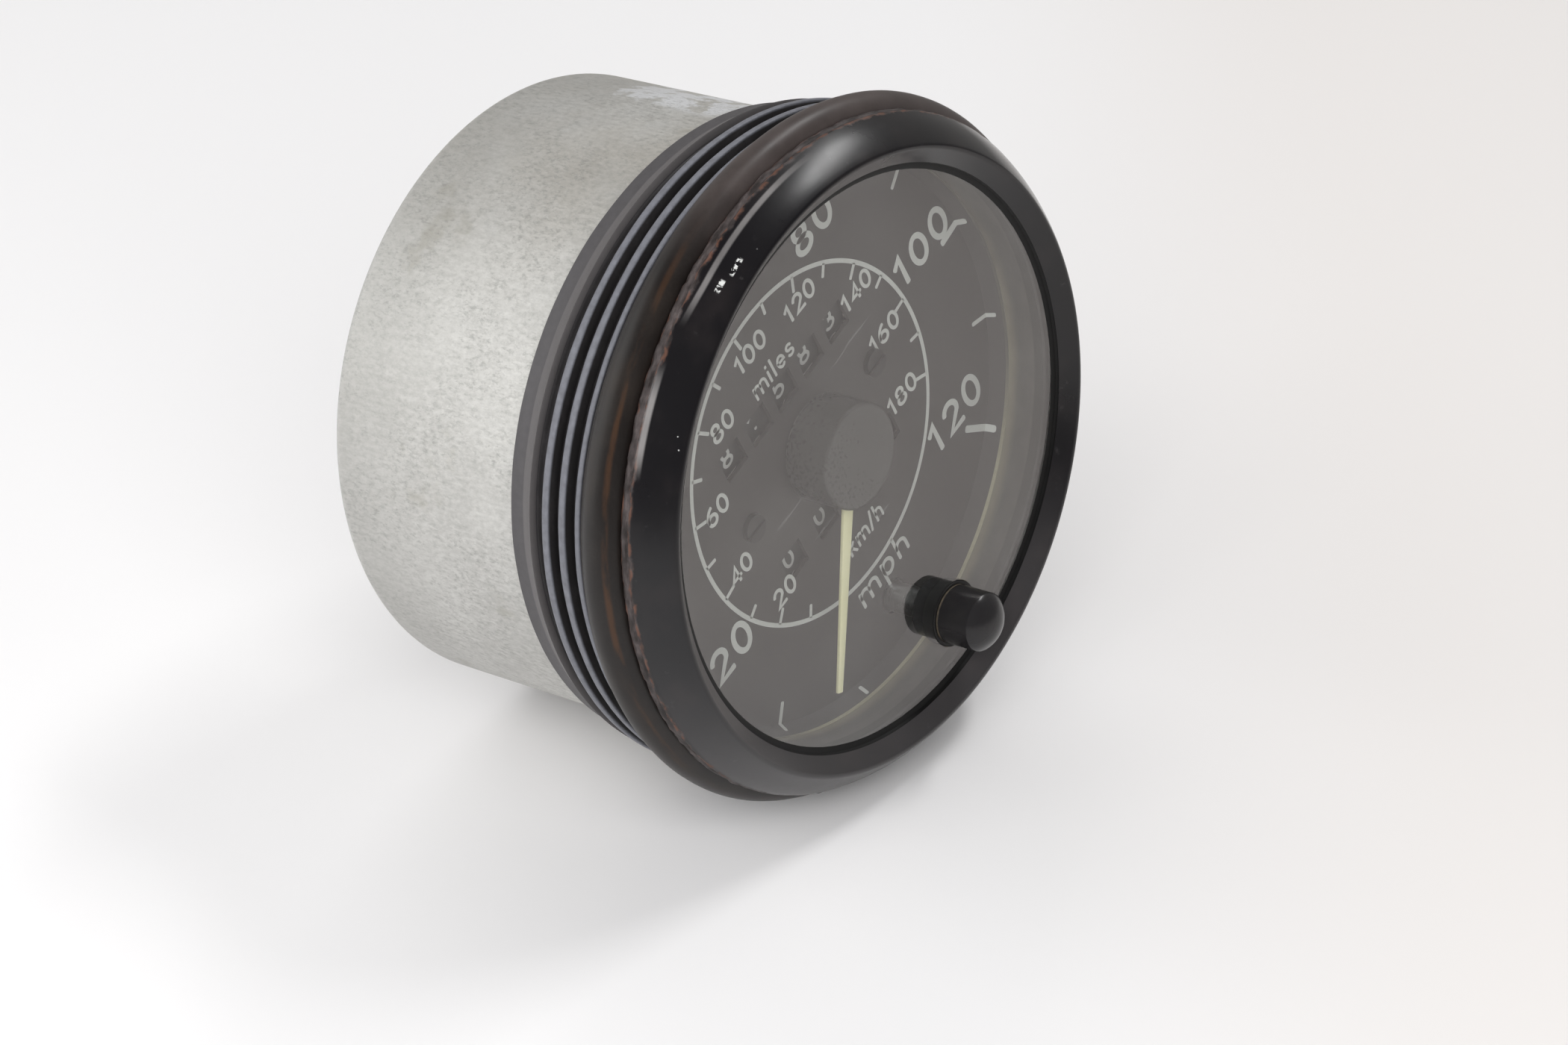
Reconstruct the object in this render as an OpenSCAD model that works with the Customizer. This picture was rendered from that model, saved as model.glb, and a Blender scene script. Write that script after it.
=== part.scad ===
// Mechanical dashboard speedometer with odometer, trip counter and push-to-reset knob.
// Each piece is drawn with x to the right of the dial, y to twelve o'clock and z towards the reader,
// with z = 0 on the plane of the panel. placed() turns that frame so that the dial faces -Y and
// twelve o'clock is +Z, with the origin on the axis in the middle of the ribs that grip the panel.

/* [Case] */
// Outer diameter of the drum
case_d = 100; // [97:0.5:110]
// Depth of the drum behind the panel
case_depth = 56.5; // [56:0.5:66]
// Sheet thickness of the drum
case_wall = 0.9; // [0.7:0.1:1.1]
// Radius of the rolled rear edge
case_round = 2; // [1.5:0.5:4]
// Width of the flange round the mouth of the drum
flange_w = 3; // [2.6:0.1:3.2]

/* [Bezel] */
// Sheet thickness of the bezel
bezel_sheet = 1; // [0.8:0.1:1.2]
// Straight height of the skirt
skirt_h = 2; // [2:0.1:3]
// Height of the coned face, up to the corner of the crest
face_h = 5.9; // [5.4:0.1:7]
// Radial width of the slope inside the crest
inner_slope_w = 2.9; // [2.5:0.1:3.4]
// Height of the slope inside the crest
inner_slope_h = 2.4; // [2.2:0.1:2.8]
// Radius that rounds the crest
crest_round = 0.8; // [0.5:0.1:1]
// Clearance between the flange and the skirt
skirt_gap = 0.5; // [0.3:0.05:0.6]

/* [Panel rubbers] */
// Width of the round trim ring, along the axis
ring_w = 7.7; // [7:0.1:9]
// Height of the trim ring over the drum
ring_h = 6.8; // [6:0.1:8]
// Width of the trim ring's flat foot, which lies on the panel
land_w = 0.56; // [0.4:0.02:0.8]
// Depth of the relief inside the land that lies on the panel
seat_relief = 0.4; // [0.2:0.1:0.8]
// Length of the ribbed sleeve
sleeve_len = 16.2; // [15.5:0.1:20]
// Wall thickness of the sleeve between its ribs
sleeve_t = 1.3; // [1:0.1:1.8]
// Number of ribs
rib_count = 3; // [2:1:3]
// Distance between ribs
rib_pitch = 3.3; // [3:0.1:4]
// Width of a rib
rib_w = 1.6; // [1.4:0.1:2]
// Height of a rib over the drum
rib_h = 3.8; // [3:0.1:4.4]
// Radius of a rib's corners
rib_round = 0.35; // [0.2:0.05:0.5]
// Width of the flat band at the rear of the sleeve
band_w = 2.6; // [2:0.1:3]
// Thickness of the flat band
band_t = 1.7; // [1.4:0.1:2]
// Width of the ramp that leads the sleeve into the panel hole
ramp_w = 2.8; // [2.4:0.1:4]
// Height of the ramp's front edge over the drum
ramp_h = 3.1; // [2.5:0.1:3.2]
// Gap between the sleeve and the trim ring
sleeve_gap = 0.8; // [0.6:0.1:1.4]

/* [Glass] */
// Thickness of the glass
glass_t = 2; // [1.6:0.1:2.4]
// Radial gap between the glass and the drum
glass_gap = 0.5; // [0.3:0.1:0.8]
// Width of the glass that the seal covers
seal_w = 1.5; // [1.2:0.1:1.8]
// Thickness of the seal
seal_t = 0.8; // [0.6:0.1:1]

/* [Dial] */
// Sheet thickness of the dial
dial_t = 0.8; // [0.6:0.1:1]
// Height of the dial's raised border
border_h = 2.5; // [2:0.1:3]
// Radial width of the border's slope
border_w = 1.3; // [1:0.1:1.8]
// Thickness of the gasket on the border
gasket_t = 0.6; // [0.4:0.1:0.8]
// Radial width of the spacer ring
spacer_w = 1.9; // [1.5:0.1:2.2]
// Width of a number window
window_w = 5.4; // [4.5:0.1:6]
// Height of a number window
window_h = 5; // [4.5:0.1:5.5]
// Distance of each number row from the axis
row_y = 12.8; // [12.6:0.1:14]
// Distance of each dial screw from the axis
dial_screw_x = 17.8; // [17:0.1:18.2]
// Diameter of a dial screw's head
dial_screw_head_d = 4.6; // [4:0.1:5]

/* [Pointer] */
// Diameter of the hub cap
hub_d = 17.4; // [15:0.1:18.4]
// Height of the hub cap
hub_h = 8.2; // [7:0.1:8.8]
// Gap between the hub cap and the glass
hub_gap = 0.8; // [0.6:0.1:1.2]
// Reach of the blade from the axis
blade_reach = 39.6; // [34:0.1:41]
// Width of the blade at the hub
blade_root_w = 2.4; // [2:0.1:3]
// Width of the blade at its tip
blade_tip_w = 1.2; // [0.8:0.1:1.6]
// Thickness of the blade
blade_t = 0.6; // [0.4:0.1:0.8]
// Angle of the resting blade, anticlockwise from twelve o'clock
blade_rest = 143.3; // [135:0.1:160]
// Diameter of the spindle
spindle_d = 1.6; // [1.2:0.1:2]

/* [Trip knob] */
// Diameter of the knob
knob_d = 9.8; // [8:0.1:11]
// Distance of the knob's axis from the outside of the drum
knob_inset = 12.1; // [11.5:0.1:13]
// Height of the knob's dome over the glass
knob_out = 8.65; // [7:0.05:11]
// Height of the dome itself
dome_h = 2; // [1.5:0.1:3]
// Travel of the knob
knob_travel = 4; // [3:0.1:4.2]
// Diameter of the stem
stem_d = 5; // [4:0.1:5.6]
// Wall thickness of the collar in the glass
grommet_t = 0.45; // [0.3:0.05:0.8]
// Wire diameter of the return spring
wire_d = 0.6; // [0.5:0.05:0.7]
// Number of coils of the return spring
coils = 6; // [4:1:7]

/* [Number drums] */
// Diameter of a number drum where the movement fills the case
drum_d = 18; // [17:0.1:18.6]
// Number of odometer drums
odo_count = 5; // [5:1:5]
// Distance between odometer drums
odo_pitch = 7.4; // [7.2:0.1:7.6]
// Width of an odometer drum
odo_w = 6.6; // [6:0.1:6.8]
// Number of trip drums
trip_count = 4; // [4:1:4]
// Distance between trip drums
trip_pitch = 9.2; // [9:0.1:9.4]
// Width of a trip drum
trip_w = 8; // [7:0.1:8.4]
// Diameter of the shafts in the number drive
axle_d = 3; // [2.5:0.1:3.2]
// Pitch diameter of the last gear
gear_d = 16; // [15:0.1:16.4]

/* [Speed drive] */
// Diameter of the magnet
magnet_d = 23.6; // [20:0.1:25]
// Thickness of the magnet where the movement fills the case
magnet_t = 5.2; // [4:0.1:6]
// Air gap on each side of the drag cup's wall
air_gap = 0.8; // [0.6:0.1:1]
// Wall thickness of the drag cup
drag_wall = 0.5; // [0.4:0.1:0.7]
// Wall thickness of the flux cup
flux_wall = 1; // [0.8:0.1:1.5]
// Diameter of the drive shaft
shaft_d = 5; // [4.5:0.1:5.6]
// Side of the square socket in the drive shaft
socket_w = 2.7; // [2.5:0.1:2.9]
// Pitch diameter of the worm wheels where the movement fills the case
wheel_d = 14; // [13:0.1:14.4]
// Pitch diameter of the drive worm and the cross worm
worm_d = 7; // [6.6:0.1:7.4]
// Half the depth of a worm's thread
thread_e = 0.55; // [0.45:0.05:0.6]
// Face width of the wheels and gears
face_w = 3; // [2.5:0.1:3.2]

/* [Rear] */
// Diameter of the drive boss
boss_d = 18; // [16:0.1:20]
// Length of the drive boss behind the case
boss_len = 10.5; // [9:0.1:14]
// Thickness of the movement's base plate where the movement fills the case
plate_t = 2.4; // [2:0.1:3]
// Thickness of the movement's side cheeks
cheek_t = 1.5; // [1.2:0.1:2]
// Diameter of a lamp holder's body
lamp_d = 10.8; // [9:0.1:12]
// Distance of each lamp holder to the side of the axis
lamp_x = 24; // [22:0.5:26]
// Distance of the lamp holders above the axis
lamp_y = 29; // [28:0.5:30]
// Width of the earth terminal's blade
tab_w = 6.3; // [4.8:0.1:6.3]
// Shank diameter of the screws
screw_d = 2.8; // [2.5:0.1:3]

/* [Fits] */
// Radial clearance of a turning shaft
run_gap = 0.06; // [0.03:0.01:0.08]
// Radial clearance of rubber on metal
rubber_gap = 0.12; // [0.1:0.01:0.2]
// Clearance between pieces that move past each other
free_gap = 0.6; // [0.5:0.05:0.8]

/* [Hidden] */
$fn = 96;

// Rings of the front, from the drum outwards and from the panel forwards
case_r = case_d / 2;
case_in_r = case_r - case_wall;
back_z = -case_depth;
back_in_z = back_z + case_wall;
flange_r = case_r + flange_w;
bezel_r = flange_r + skirt_gap + bezel_sheet;
seam_z = ring_w;
skirt_z = seam_z + skirt_h;
corner_z = skirt_z + face_h;
glass_r = case_in_r - glass_gap;
aperture_r = glass_r - seal_w;
crest_r = aperture_r + inner_slope_w;
seal_top_z = corner_z - inner_slope_h;
glass_z = seal_top_z - seal_t;
glass_back_z = glass_z - glass_t;
hem_r = case_r + 1.2;
hem_round = 0.8;
hem_w = 1.3;

// Rubber round the drum
rubber_in_r = case_r + rubber_gap;
ring_r = case_r + ring_h;
rib_r = case_r + rib_h;
seat_in_r = rib_r + 2 * rubber_gap;
grip_len = (rib_count - 1) * rib_pitch + rib_w;
grip_z = -sleeve_gap - grip_len / 2;

// Dial, and the rings between it and the glass
border_out_r = case_in_r - 0.9;
spacer_r = case_in_r - 0.7;
spacer_in_r = spacer_r - spacer_w;
border_r = spacer_in_r - 0.1;
dial_flat_r = border_r - border_w;
gasket_z = border_h + gasket_t;
dial_back_z = -dial_t;

// Pointer
hub_z = glass_back_z - hub_gap;
hub_back_z = hub_z - hub_h;
hub_wall = 1.1;
hub_boss_r = spindle_d / 2 + 1.7;
blade_z = hub_z - 1.9;
spindle_r = spindle_d / 2;

// Depths that the movement takes up, scaled by depth_share so that they fill the case
tooth_add = thread_e - 0.1;
spring_t = 0.6;
spring_room = 1.4;
bridge_room = 0.9;
bridge_plate_t = 1.5;
drag_room = 1;
flux_base_t = 1.8;
boss_room = 4;
scaled_depth = drum_d + spring_room + bridge_room + bridge_plate_t + drag_room + magnet_t + flux_base_t
    + wheel_d + plate_t + boss_room;
fixed_depth = dial_t + 3 * free_gap + spring_t + drag_wall + air_gap + 2 * tooth_add + case_wall;
depth_share = (case_depth - fixed_depth) / scaled_depth;

// Number drums, from the dial backwards
drum_r = drum_d / 2 * depth_share;
drum_z = dial_back_z - free_gap - drum_r;
drum_back_z = drum_z - drum_r;
axle_r = axle_d / 2;
gear_teeth = 25;
gear_r = gear_d / 2;
riser_worm_r = row_y - gear_r;
gear_x = (odo_count - 1) / 2 * odo_pitch + odo_w / 2 + 2.4 + face_w / 2;
cheek_x = gear_x + face_w / 2 + 2.4;
drum_hub_r = axle_r + 1.6;

// Speed drive, from the drums backwards
spring_z = drum_back_z - spring_room * depth_share - spring_t;
spring_in_r = 1.9;
spring_turns = 4;
spring_coil_pitch = 1.1;
spring_strip = 0.25;
collet_r = spring_in_r - 0.35;
bridge_t = bridge_plate_t * depth_share;
bridge_front_z = spring_z - bridge_room * depth_share;
bridge_z = bridge_front_z - bridge_t;
bridge_post_r = 1.8;
bridge_post_at = 13;
bridge_screw_depth = 6;
bridge_head_h = 1.4;
bush_r = 2;
bush_flange_r = 2.6;
bush_flange_t = 0.4;
drag_top_z = bridge_z - drag_room * depth_share;
magnet_r = magnet_d / 2;
drag_in_r = magnet_r + air_gap;
drag_r = drag_in_r + drag_wall;
flux_in_r = drag_r + air_gap;
flux_r = flux_in_r + flux_wall;
magnet_z = drag_top_z - drag_wall - air_gap;
magnet_back_z = magnet_z - magnet_t * depth_share;
flux_back_z = magnet_back_z - flux_base_t * depth_share;
drag_skirt_z = magnet_back_z + 0.4;
wheel_teeth = 20;
wheel_r = wheel_d / 2 * depth_share;
tooth_ded = thread_e + 0.2;
worm_r = worm_d / 2;
worm_turns = 4;
worm_pitch = 2 * PI * wheel_r / wheel_teeth;
riser_pitch = PI * gear_d / gear_teeth;
cross_y = -(wheel_r + worm_r);
train_z = flux_back_z - free_gap - wheel_r - tooth_add;
plate_z = train_z - wheel_r - tooth_add - free_gap;
plate_back_z = plate_z - plate_t * depth_share;
shaft_r = shaft_d / 2;
magnet_seat_r = shaft_r + 0.5;

// Movement frame
plate_half_y = 20;
plate_left_x = -cheek_x - 3;
post_x = cheek_x + 4;
post_t = 2;
plate_right_x = post_x + post_t + 1;
left_post_x = -9;
cheek_edge = 5.2;
cheek_half_y = row_y + cheek_edge;
cheek_front_z = dial_back_z - free_gap;
cheek_open_y = row_y + 2.4;
cheek_open_z = drum_back_z - 2;
worm_room_y = riser_worm_r + thread_e + free_gap;
worm_room_z = worm_turns * riser_pitch / 2 + free_gap;
lug_half_y = 3;
lug_t = 2.5;
lug_in_x = dial_screw_x - 3;
movement_screw_at = [[18, 15], [-18, -15]];
screw_r = screw_d / 2;
screw_head_r = screw_r + 2;
screw_head_h = 2;

// Trip reset
knob_y = case_r - knob_inset;
knob_r = knob_d / 2;
stem_r = stem_d / 2;
knob_back_z = knob_travel + 1.2;
knob_top_z = glass_z + knob_out;
grommet_r = knob_r + 2 * run_gap + grommet_t;
glass_hole_r = grommet_r + rubber_gap;
stem_hole_r = stem_r + 0.5;
sheet_t = 1.5;
guide_z = -12;
collar_r = stem_r + 1.8;
collar_z = dial_back_z - 0.5;
collar_t = 1.3;
nose_r = 1;
nose_h = 1.6;
stem_back_z = guide_z - sheet_t - knob_travel - 0.2;
column_y = -(row_y + drum_r + 2.2);
bracket_half_x = 6;
lever_pin_y = column_y - 4;
lever_half_x = 2;
lever_t = 3;
lever_pin_r = 1;
lever_pad_z = stem_back_z - 0.3;
lever_pin_z = lever_pad_z - lever_t / 2;
lever_finger = 7;
lug_half_x = lever_half_x + 0.4;

// Rear
boss_r = boss_d / 2;
boss_pilot_r = boss_r + 1;
boss_flange_r = boss_r + 3;
boss_spigot_r = shaft_r + 3;
boss_end_z = back_z - boss_len;
lamp_r = lamp_d / 2;
lamp_depth = 8;
lamp_flange_w = 1.6;
lamp_flange_t = 2.5;
lamp_grip_len = 5;
lamp_base_t = 0.5;
bulb_r = lamp_r - 2.2;
bulb_len = 9;
tab_t = 0.8;
tab_len = 9;
tab_at_y = -32;
tab_foot = 8;

// Turns the dial's frame to the part's frame and moves the origin to the middle of the ribs.
module placed() {
    translate([0, grip_z, 0]) rotate([90, 0, 0]) children();
}

// Ring or disc round the axis between two heights.
module ring(r_out, r_in, z0, z1) {
    translate([0, 0, z0]) difference() {
        cylinder(r = r_out, h = z1 - z0);
        if (r_in > 0) translate([0, 0, -1]) cylinder(r = r_in, h = z1 - z0 + 2);
    }
}

// Rod along x between two places.
module rod_x(r, x0, x1, y, z) {
    translate([x0, y, z]) rotate([0, 90, 0]) cylinder(r = r, h = x1 - x0);
}

// Rod along z between two heights.
module rod_z(r, x, y, z0, z1) {
    translate([x, y, z0]) cylinder(r = r, h = z1 - z0);
}

// Block between two opposite corners.
module block(a, b) {
    translate(a) cube(b - a);
}

// Square-cornered area of a revolved profile, by radius and height.
module area(r0, r1, z0, z1) {
    translate([r0, z0]) square([r1 - r0, z1 - z0]);
}

// Area whose outer two corners are rounded.
module rounded_area(r0, r1, z0, z1, corner) {
    area(r0, r1 - corner, z0, z1);
    area(r0, r1, z0 + corner, z1 - corner);
    for (z = [z0 + corner, z1 - corner]) translate([r1 - corner, z]) circle(corner);
}

function unit(v) = v / norm(v);

// Outline of a spur gear, with a tooth centred on the x axis.
function gear_points(teeth, r) = [
    for (i = [0:teeth - 1])
        for (p = [[-0.42, -tooth_ded], [-0.17, tooth_add], [0.17, tooth_add], [0.42, -tooth_ded]])
            let (a = 360 * i / teeth + p[0] * 180 / PI / r, d = r + p[1])
                d * [cos(a), sin(a)]
];

module gear_wheel(teeth, r, bore_r, turn) {
    difference() {
        translate([0, 0, -face_w / 2]) linear_extrude(face_w) rotate(turn) polygon(gear_points(teeth, r));
        cylinder(r = bore_r, h = face_w + 2, center = true);
    }
}

// Single-start right-hand worm: an eccentric round that winds along the axis.
module worm(r, pitch, turn) {
    height = worm_turns * pitch;
    rotate(turn)
        linear_extrude(height, twist = -360 * worm_turns, slices = 14 * worm_turns, segments = 16,
            center = true)
            translate([thread_e, 0]) circle(r, $fn = 16);
}

// Front and drum

module drum_area(r, z0, z1, corner) {
    area(0, r - corner, z0, z1);
    area(0, r, z0 + corner, z1);
    translate([r - corner, z0 + corner]) circle(corner);
}

module case() {
    flange_z = seam_z + bezel_sheet;
    mouth_z = flange_z + case_wall;
    color("darkgray") difference() {
        rotate_extrude() difference() {
            union() {
                drum_area(case_r, back_z, mouth_z, case_round);
                area(0, flange_r, flange_z, mouth_z);
            }
            drum_area(case_in_r, back_in_z, mouth_z + 1, case_round - case_wall);
        }
        rod_z(boss_pilot_r + rubber_gap, 0, 0, back_z - 1, back_in_z + 1);
        for (side = [-1, 1]) rod_z(lamp_r + 0.1, side * lamp_x, lamp_y, back_z - 1, back_in_z + 1);
        for (p = movement_screw_at) rod_z(screw_r + 0.2, p[0], p[1], back_z - 1, back_in_z + 1);
    }
}

// Arc of an outline, from one angle to another.
function arc(centre, r, from, to) = let (steps = 8) [
    for (i = [0:steps]) let (a = from + (to - from) * i / steps) centre + r * [cos(a), sin(a)]
];

// The crest is a round that touches both slopes.
module bezel() {
    corner = [crest_r, corner_z];
    to_in = unit([aperture_r, seal_top_z] - corner);
    to_out = unit([bezel_r, skirt_z] - corner);
    middle = unit(to_in + to_out);
    half = acos(to_in * middle);
    centre = corner + middle * crest_round / sin(half);
    out_angle = atan2(to_out[0], -to_out[1]);
    in_angle = out_angle + 180 - 2 * half;
    hem = [bezel_r - hem_round, seam_z + hem_round];
    color("#17171a") rotate_extrude() polygon(concat(
        [[hem_r, seam_z]], arc(hem, hem_round, -90, 0), [[bezel_r, skirt_z]],
        arc(centre, crest_round, out_angle, in_angle),
        [
            [aperture_r, seal_top_z], [aperture_r + hem_w, seal_top_z],
            [crest_r, corner_z - 1.55 * bezel_sheet], [bezel_r - bezel_sheet, skirt_z - 0.15],
            [bezel_r - bezel_sheet, seam_z + bezel_sheet], [hem_r, seam_z + bezel_sheet]
        ]
    ));
}

module glass_seal() {
    color("#0c0c0c") ring(glass_r, aperture_r, glass_z, seal_top_z);
}

module glass() {
    color("lightcyan", 0.35) difference() {
        ring(glass_r, 0, glass_back_z, glass_z);
        rod_z(glass_hole_r, 0, -knob_y, glass_back_z - 1, glass_z + 1);
    }
}

module spacer_ring() {
    color("dimgray") ring(spacer_r, spacer_in_r, gasket_z, glass_back_z);
}

module dial_gasket() {
    color("wheat") ring(border_out_r, border_r, border_h, gasket_z);
}

module dial_plate() {
    fold = 0.35;
    color("#2b2b2b") difference() {
        rotate_extrude() polygon([
            [0, 0], [dial_flat_r, 0], [border_r, border_h], [border_out_r, border_h],
            [border_out_r, border_h - dial_t], [border_r + fold, border_h - dial_t],
            [dial_flat_r + fold, -dial_t], [0, -dial_t]
        ]);
        rod_z(spindle_r + 1.4, 0, 0, -dial_t - 1, 1);
        rod_z(stem_hole_r, 0, -knob_y, -dial_t - 1, 1);
        for (side = [-1, 1]) rod_z(screw_r + 0.2, side * dial_screw_x, 0, -dial_t - 1, 1);
        for (i = [0:odo_count - 1]) window(row_x(i, odo_count, odo_pitch), row_y);
        for (i = [0:trip_count - 1]) window(row_x(i, trip_count, trip_pitch), -row_y);
    }
}

function row_x(i, count, pitch) = (i - (count - 1) / 2) * pitch;

module window(x, y) {
    block([x - window_w / 2, y - window_h / 2, -dial_t - 1], [x + window_w / 2, y + window_h / 2, 1]);
}

module dial_screws() {
    head_r = dial_screw_head_d / 2;
    head_h = 0.9;
    color("#202020") for (side = [-1, 1]) translate([side * dial_screw_x, 0, 0]) difference() {
        union() {
            ring(head_r, 0, 0, head_h);
            ring(screw_r, 0, cheek_front_z - lug_t, 0.1);
        }
        block([-head_r - 1, -0.4, head_h - 0.4], [head_r + 1, 0.4, head_h + 1]);
    }
}

// The land outside the relief lies on the panel, just outside the hole that the ribs grip.
module trim_ring() {
    half = ring_w / 2;
    mid_r = ring_r - half;
    color("#1c1a19") rotate_extrude() difference() {
        union() {
            area(rubber_in_r, mid_r, 0, ring_w);
            intersection() {
                translate([mid_r, half]) circle(half);
                area(mid_r, ring_r + 1, -1, ring_w + 1);
            }
            area(rubber_in_r, seat_in_r + land_w, 0, half);
        }
        area(0, seat_in_r, -1, seat_relief);
    }
}

module ribbed_sleeve() {
    front_z = -sleeve_gap;
    rear_z = front_z - sleeve_len;
    color("#232326") rotate_extrude() {
        area(rubber_in_r, case_r + sleeve_t, rear_z, front_z);
        area(rubber_in_r, case_r + band_t, rear_z, rear_z + band_w);
        polygon([
            [rubber_in_r, rear_z + band_w], [case_r + band_t, rear_z + band_w],
            [case_r + ramp_h, rear_z + band_w + ramp_w], [rubber_in_r, rear_z + band_w + ramp_w]
        ]);
        for (i = [0:rib_count - 1]) {
            rib_z = front_z - i * rib_pitch;
            rounded_area(rubber_in_r, rib_r, rib_z - rib_w, rib_z, rib_round);
        }
    }
}

// Pointer

module pointer_blade() {
    hub_r = hub_d / 2;
    color("#d9d3a0") rotate(blade_rest) translate([0, 0, blade_z - blade_t]) difference() {
        linear_extrude(blade_t) polygon([
            [-blade_root_w / 2, hub_r - 1], [blade_root_w / 2, hub_r - 1],
            [blade_tip_w / 2, blade_reach], [-blade_tip_w / 2, blade_reach]
        ]);
        translate([0, 0, -1]) cylinder(r = hub_r, h = blade_t + 2);
    }
}

module pointer_hub() {
    hub_r = hub_d / 2;
    edge = 0.4;
    color("#3a3a3c") rotate_extrude() difference() {
        union() {
            area(0, hub_r - edge, hub_back_z, hub_z);
            area(0, hub_r, hub_back_z, hub_z - edge);
            translate([hub_r - edge, hub_z - edge]) circle(edge);
        }
        area(hub_boss_r, hub_r - hub_wall, hub_back_z - 1, hub_z - hub_wall);
        area(0, spindle_r, hub_back_z - 1, hub_z - hub_wall);
    }
}

module pointer_spindle() {
    tail_z = magnet_z - 1;
    color("silver") {
        ring(spindle_r, 0, tail_z, hub_z - hub_wall);
        ring(collet_r, 0, spring_z - 0.3, spring_z + spring_t + 0.3);
    }
}

module drag_cup() {
    color("gainsboro") rotate_extrude() {
        area(spindle_r, drag_r, drag_top_z - drag_wall, drag_top_z);
        area(drag_in_r, drag_r, drag_skirt_z, drag_top_z);
        area(spindle_r, spindle_r + 0.8, drag_top_z - drag_wall - 0.4, drag_top_z + 0.4);
    }
}

// Flat spiral whose outer end meets the stud on the bridge.
module hairspring() {
    steps = 24 * spring_turns;
    function spiral(i, off) = let (a = 360 * spring_turns * i / steps, r = spiral_r(a) + off)
        r * [cos(a), sin(a)];
    color("steelblue") translate([0, 0, spring_z]) linear_extrude(spring_t) polygon(concat(
        [for (i = [0:steps]) spiral(i, -spring_strip / 2)],
        [for (i = [steps:-1:0]) spiral(i, spring_strip / 2)]
    ));
}

function spiral_r(a) = spring_in_r + spring_strip / 2 + spring_coil_pitch * a / 360;

module bridge() {
    stud_x = spiral_r(360 * spring_turns) + spring_strip / 2 + 0.7;
    half_len = bridge_post_at * sqrt(2) + 3;
    color("goldenrod") difference() {
        union() {
            rotate(45) block([-half_len, -4, bridge_z], [half_len, 4, bridge_front_z]);
            block([0, -2, bridge_z], [stud_x + 1.2, 2, bridge_front_z]);
            rod_z(0.7, stud_x, 0, bridge_z, spring_z + spring_t);
        }
        rod_z(bush_r, 0, 0, bridge_z - 1, bridge_front_z + 1);
        for (side = [-1, 1]) {
            at = side * bridge_post_at;
            rod_z(screw_r, at, at, bridge_z - 1, bridge_front_z + 1);
        }
    }
}

module bridge_bush() {
    color("darkgoldenrod") difference() {
        union() {
            ring(bush_r, 0, bridge_z - bush_flange_t, bridge_front_z);
            ring(bush_flange_r, 0, bridge_z - bush_flange_t, bridge_z);
        }
        rod_z(spindle_r + run_gap, 0, 0, bridge_z - 2, bridge_front_z + 1);
    }
}

module bridge_screws() {
    color("silver") for (side = [-1, 1]) translate([side * bridge_post_at, side * bridge_post_at, 0]) {
        ring(screw_head_r - 0.6, 0, bridge_front_z, bridge_front_z + bridge_head_h);
        ring(screw_r, 0, bridge_z - bridge_screw_depth, bridge_front_z + 0.1);
    }
}

module magnet() {
    color("#4a4a50") ring(magnet_r, magnet_seat_r, magnet_back_z, magnet_z);
}

module flux_cup() {
    color("slategray") rotate_extrude() {
        area(magnet_seat_r, flux_r, flux_back_z, magnet_back_z);
        area(flux_in_r, flux_r, flux_back_z, magnet_z);
    }
}

module drive_shaft() {
    half_worm = worm_turns * worm_pitch / 2;
    socket_z = boss_end_z + 1;
    color("silver") difference() {
        union() {
            translate([0, 0, train_z]) worm(worm_r, worm_pitch, 90);
            ring(shaft_r, 0, socket_z, train_z - half_worm + 1);
            ring(shaft_r, 0, train_z + half_worm - 1, flux_back_z + 1);
            ring(magnet_seat_r, 0, flux_back_z, magnet_z);
        }
        block([-socket_w / 2, -socket_w / 2, socket_z - 1], [socket_w / 2, socket_w / 2, back_in_z]);
        rod_z(spindle_r + run_gap, 0, 0, magnet_z - 1.5, magnet_z + 1);
    }
}

module drive_boss() {
    color("lightgray") difference() {
        union() {
            ring(boss_r, 0, boss_end_z, back_z);
            ring(boss_pilot_r, 0, back_z, back_in_z);
            ring(boss_flange_r, 0, back_in_z, plate_back_z);
            ring(boss_spigot_r, 0, plate_back_z, plate_z);
        }
        rod_z(shaft_r + run_gap, 0, 0, boss_end_z - 1, plate_z + 1);
        rod_z(shaft_r + 2.2, 0, 0, boss_end_z - 1, boss_end_z + 6);
    }
}

// Movement

module movement_frame() {
    bearing_r = axle_r + run_gap;
    post_top_z = train_z + axle_r + 2;
    color("#8d8f93") difference() {
        union() {
            block([plate_left_x, -plate_half_y, plate_back_z], [plate_right_x, plate_half_y, plate_z]);
            block([-bracket_half_x, column_y - sheet_t, plate_back_z], [bracket_half_x, 0, plate_z]);
            for (p = movement_screw_at) rod_z(screw_r + 2.5, p[0], p[1], back_in_z, plate_back_z);
            for (side = [-1, 1]) {
                cheek(side);
                at = side * bridge_post_at;
                rod_z(bridge_post_r + 0.4, at, at, plate_z, bridge_z);
            }
            for (x = [left_post_x, post_x])
                block([x, cross_y - 3, plate_z], [x + post_t, cross_y + 3, post_top_z]);
        }
        rod_z(boss_spigot_r, 0, 0, plate_back_z - 1, plate_z + 1);
        rod_z(bearing_r, gear_x, 0, plate_back_z - 1, 0);
        rod_x(bearing_r, left_post_x - 1, post_x + post_t + 1, cross_y, train_z);
        for (y = [-row_y, row_y]) rod_x(axle_r, -cheek_x - cheek_t, cheek_x + cheek_t, y, drum_z);
        for (p = movement_screw_at) rod_z(screw_r, p[0], p[1], back_in_z - 1, plate_z + 1);
        for (side = [-1, 1]) {
            at = side * bridge_post_at;
            rod_z(screw_r, side * dial_screw_x, 0, cheek_front_z - lug_t - 1, 1);
            rod_z(screw_r, at, at, bridge_z - bridge_screw_depth, bridge_z + 1);
        }
    }
}

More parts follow.
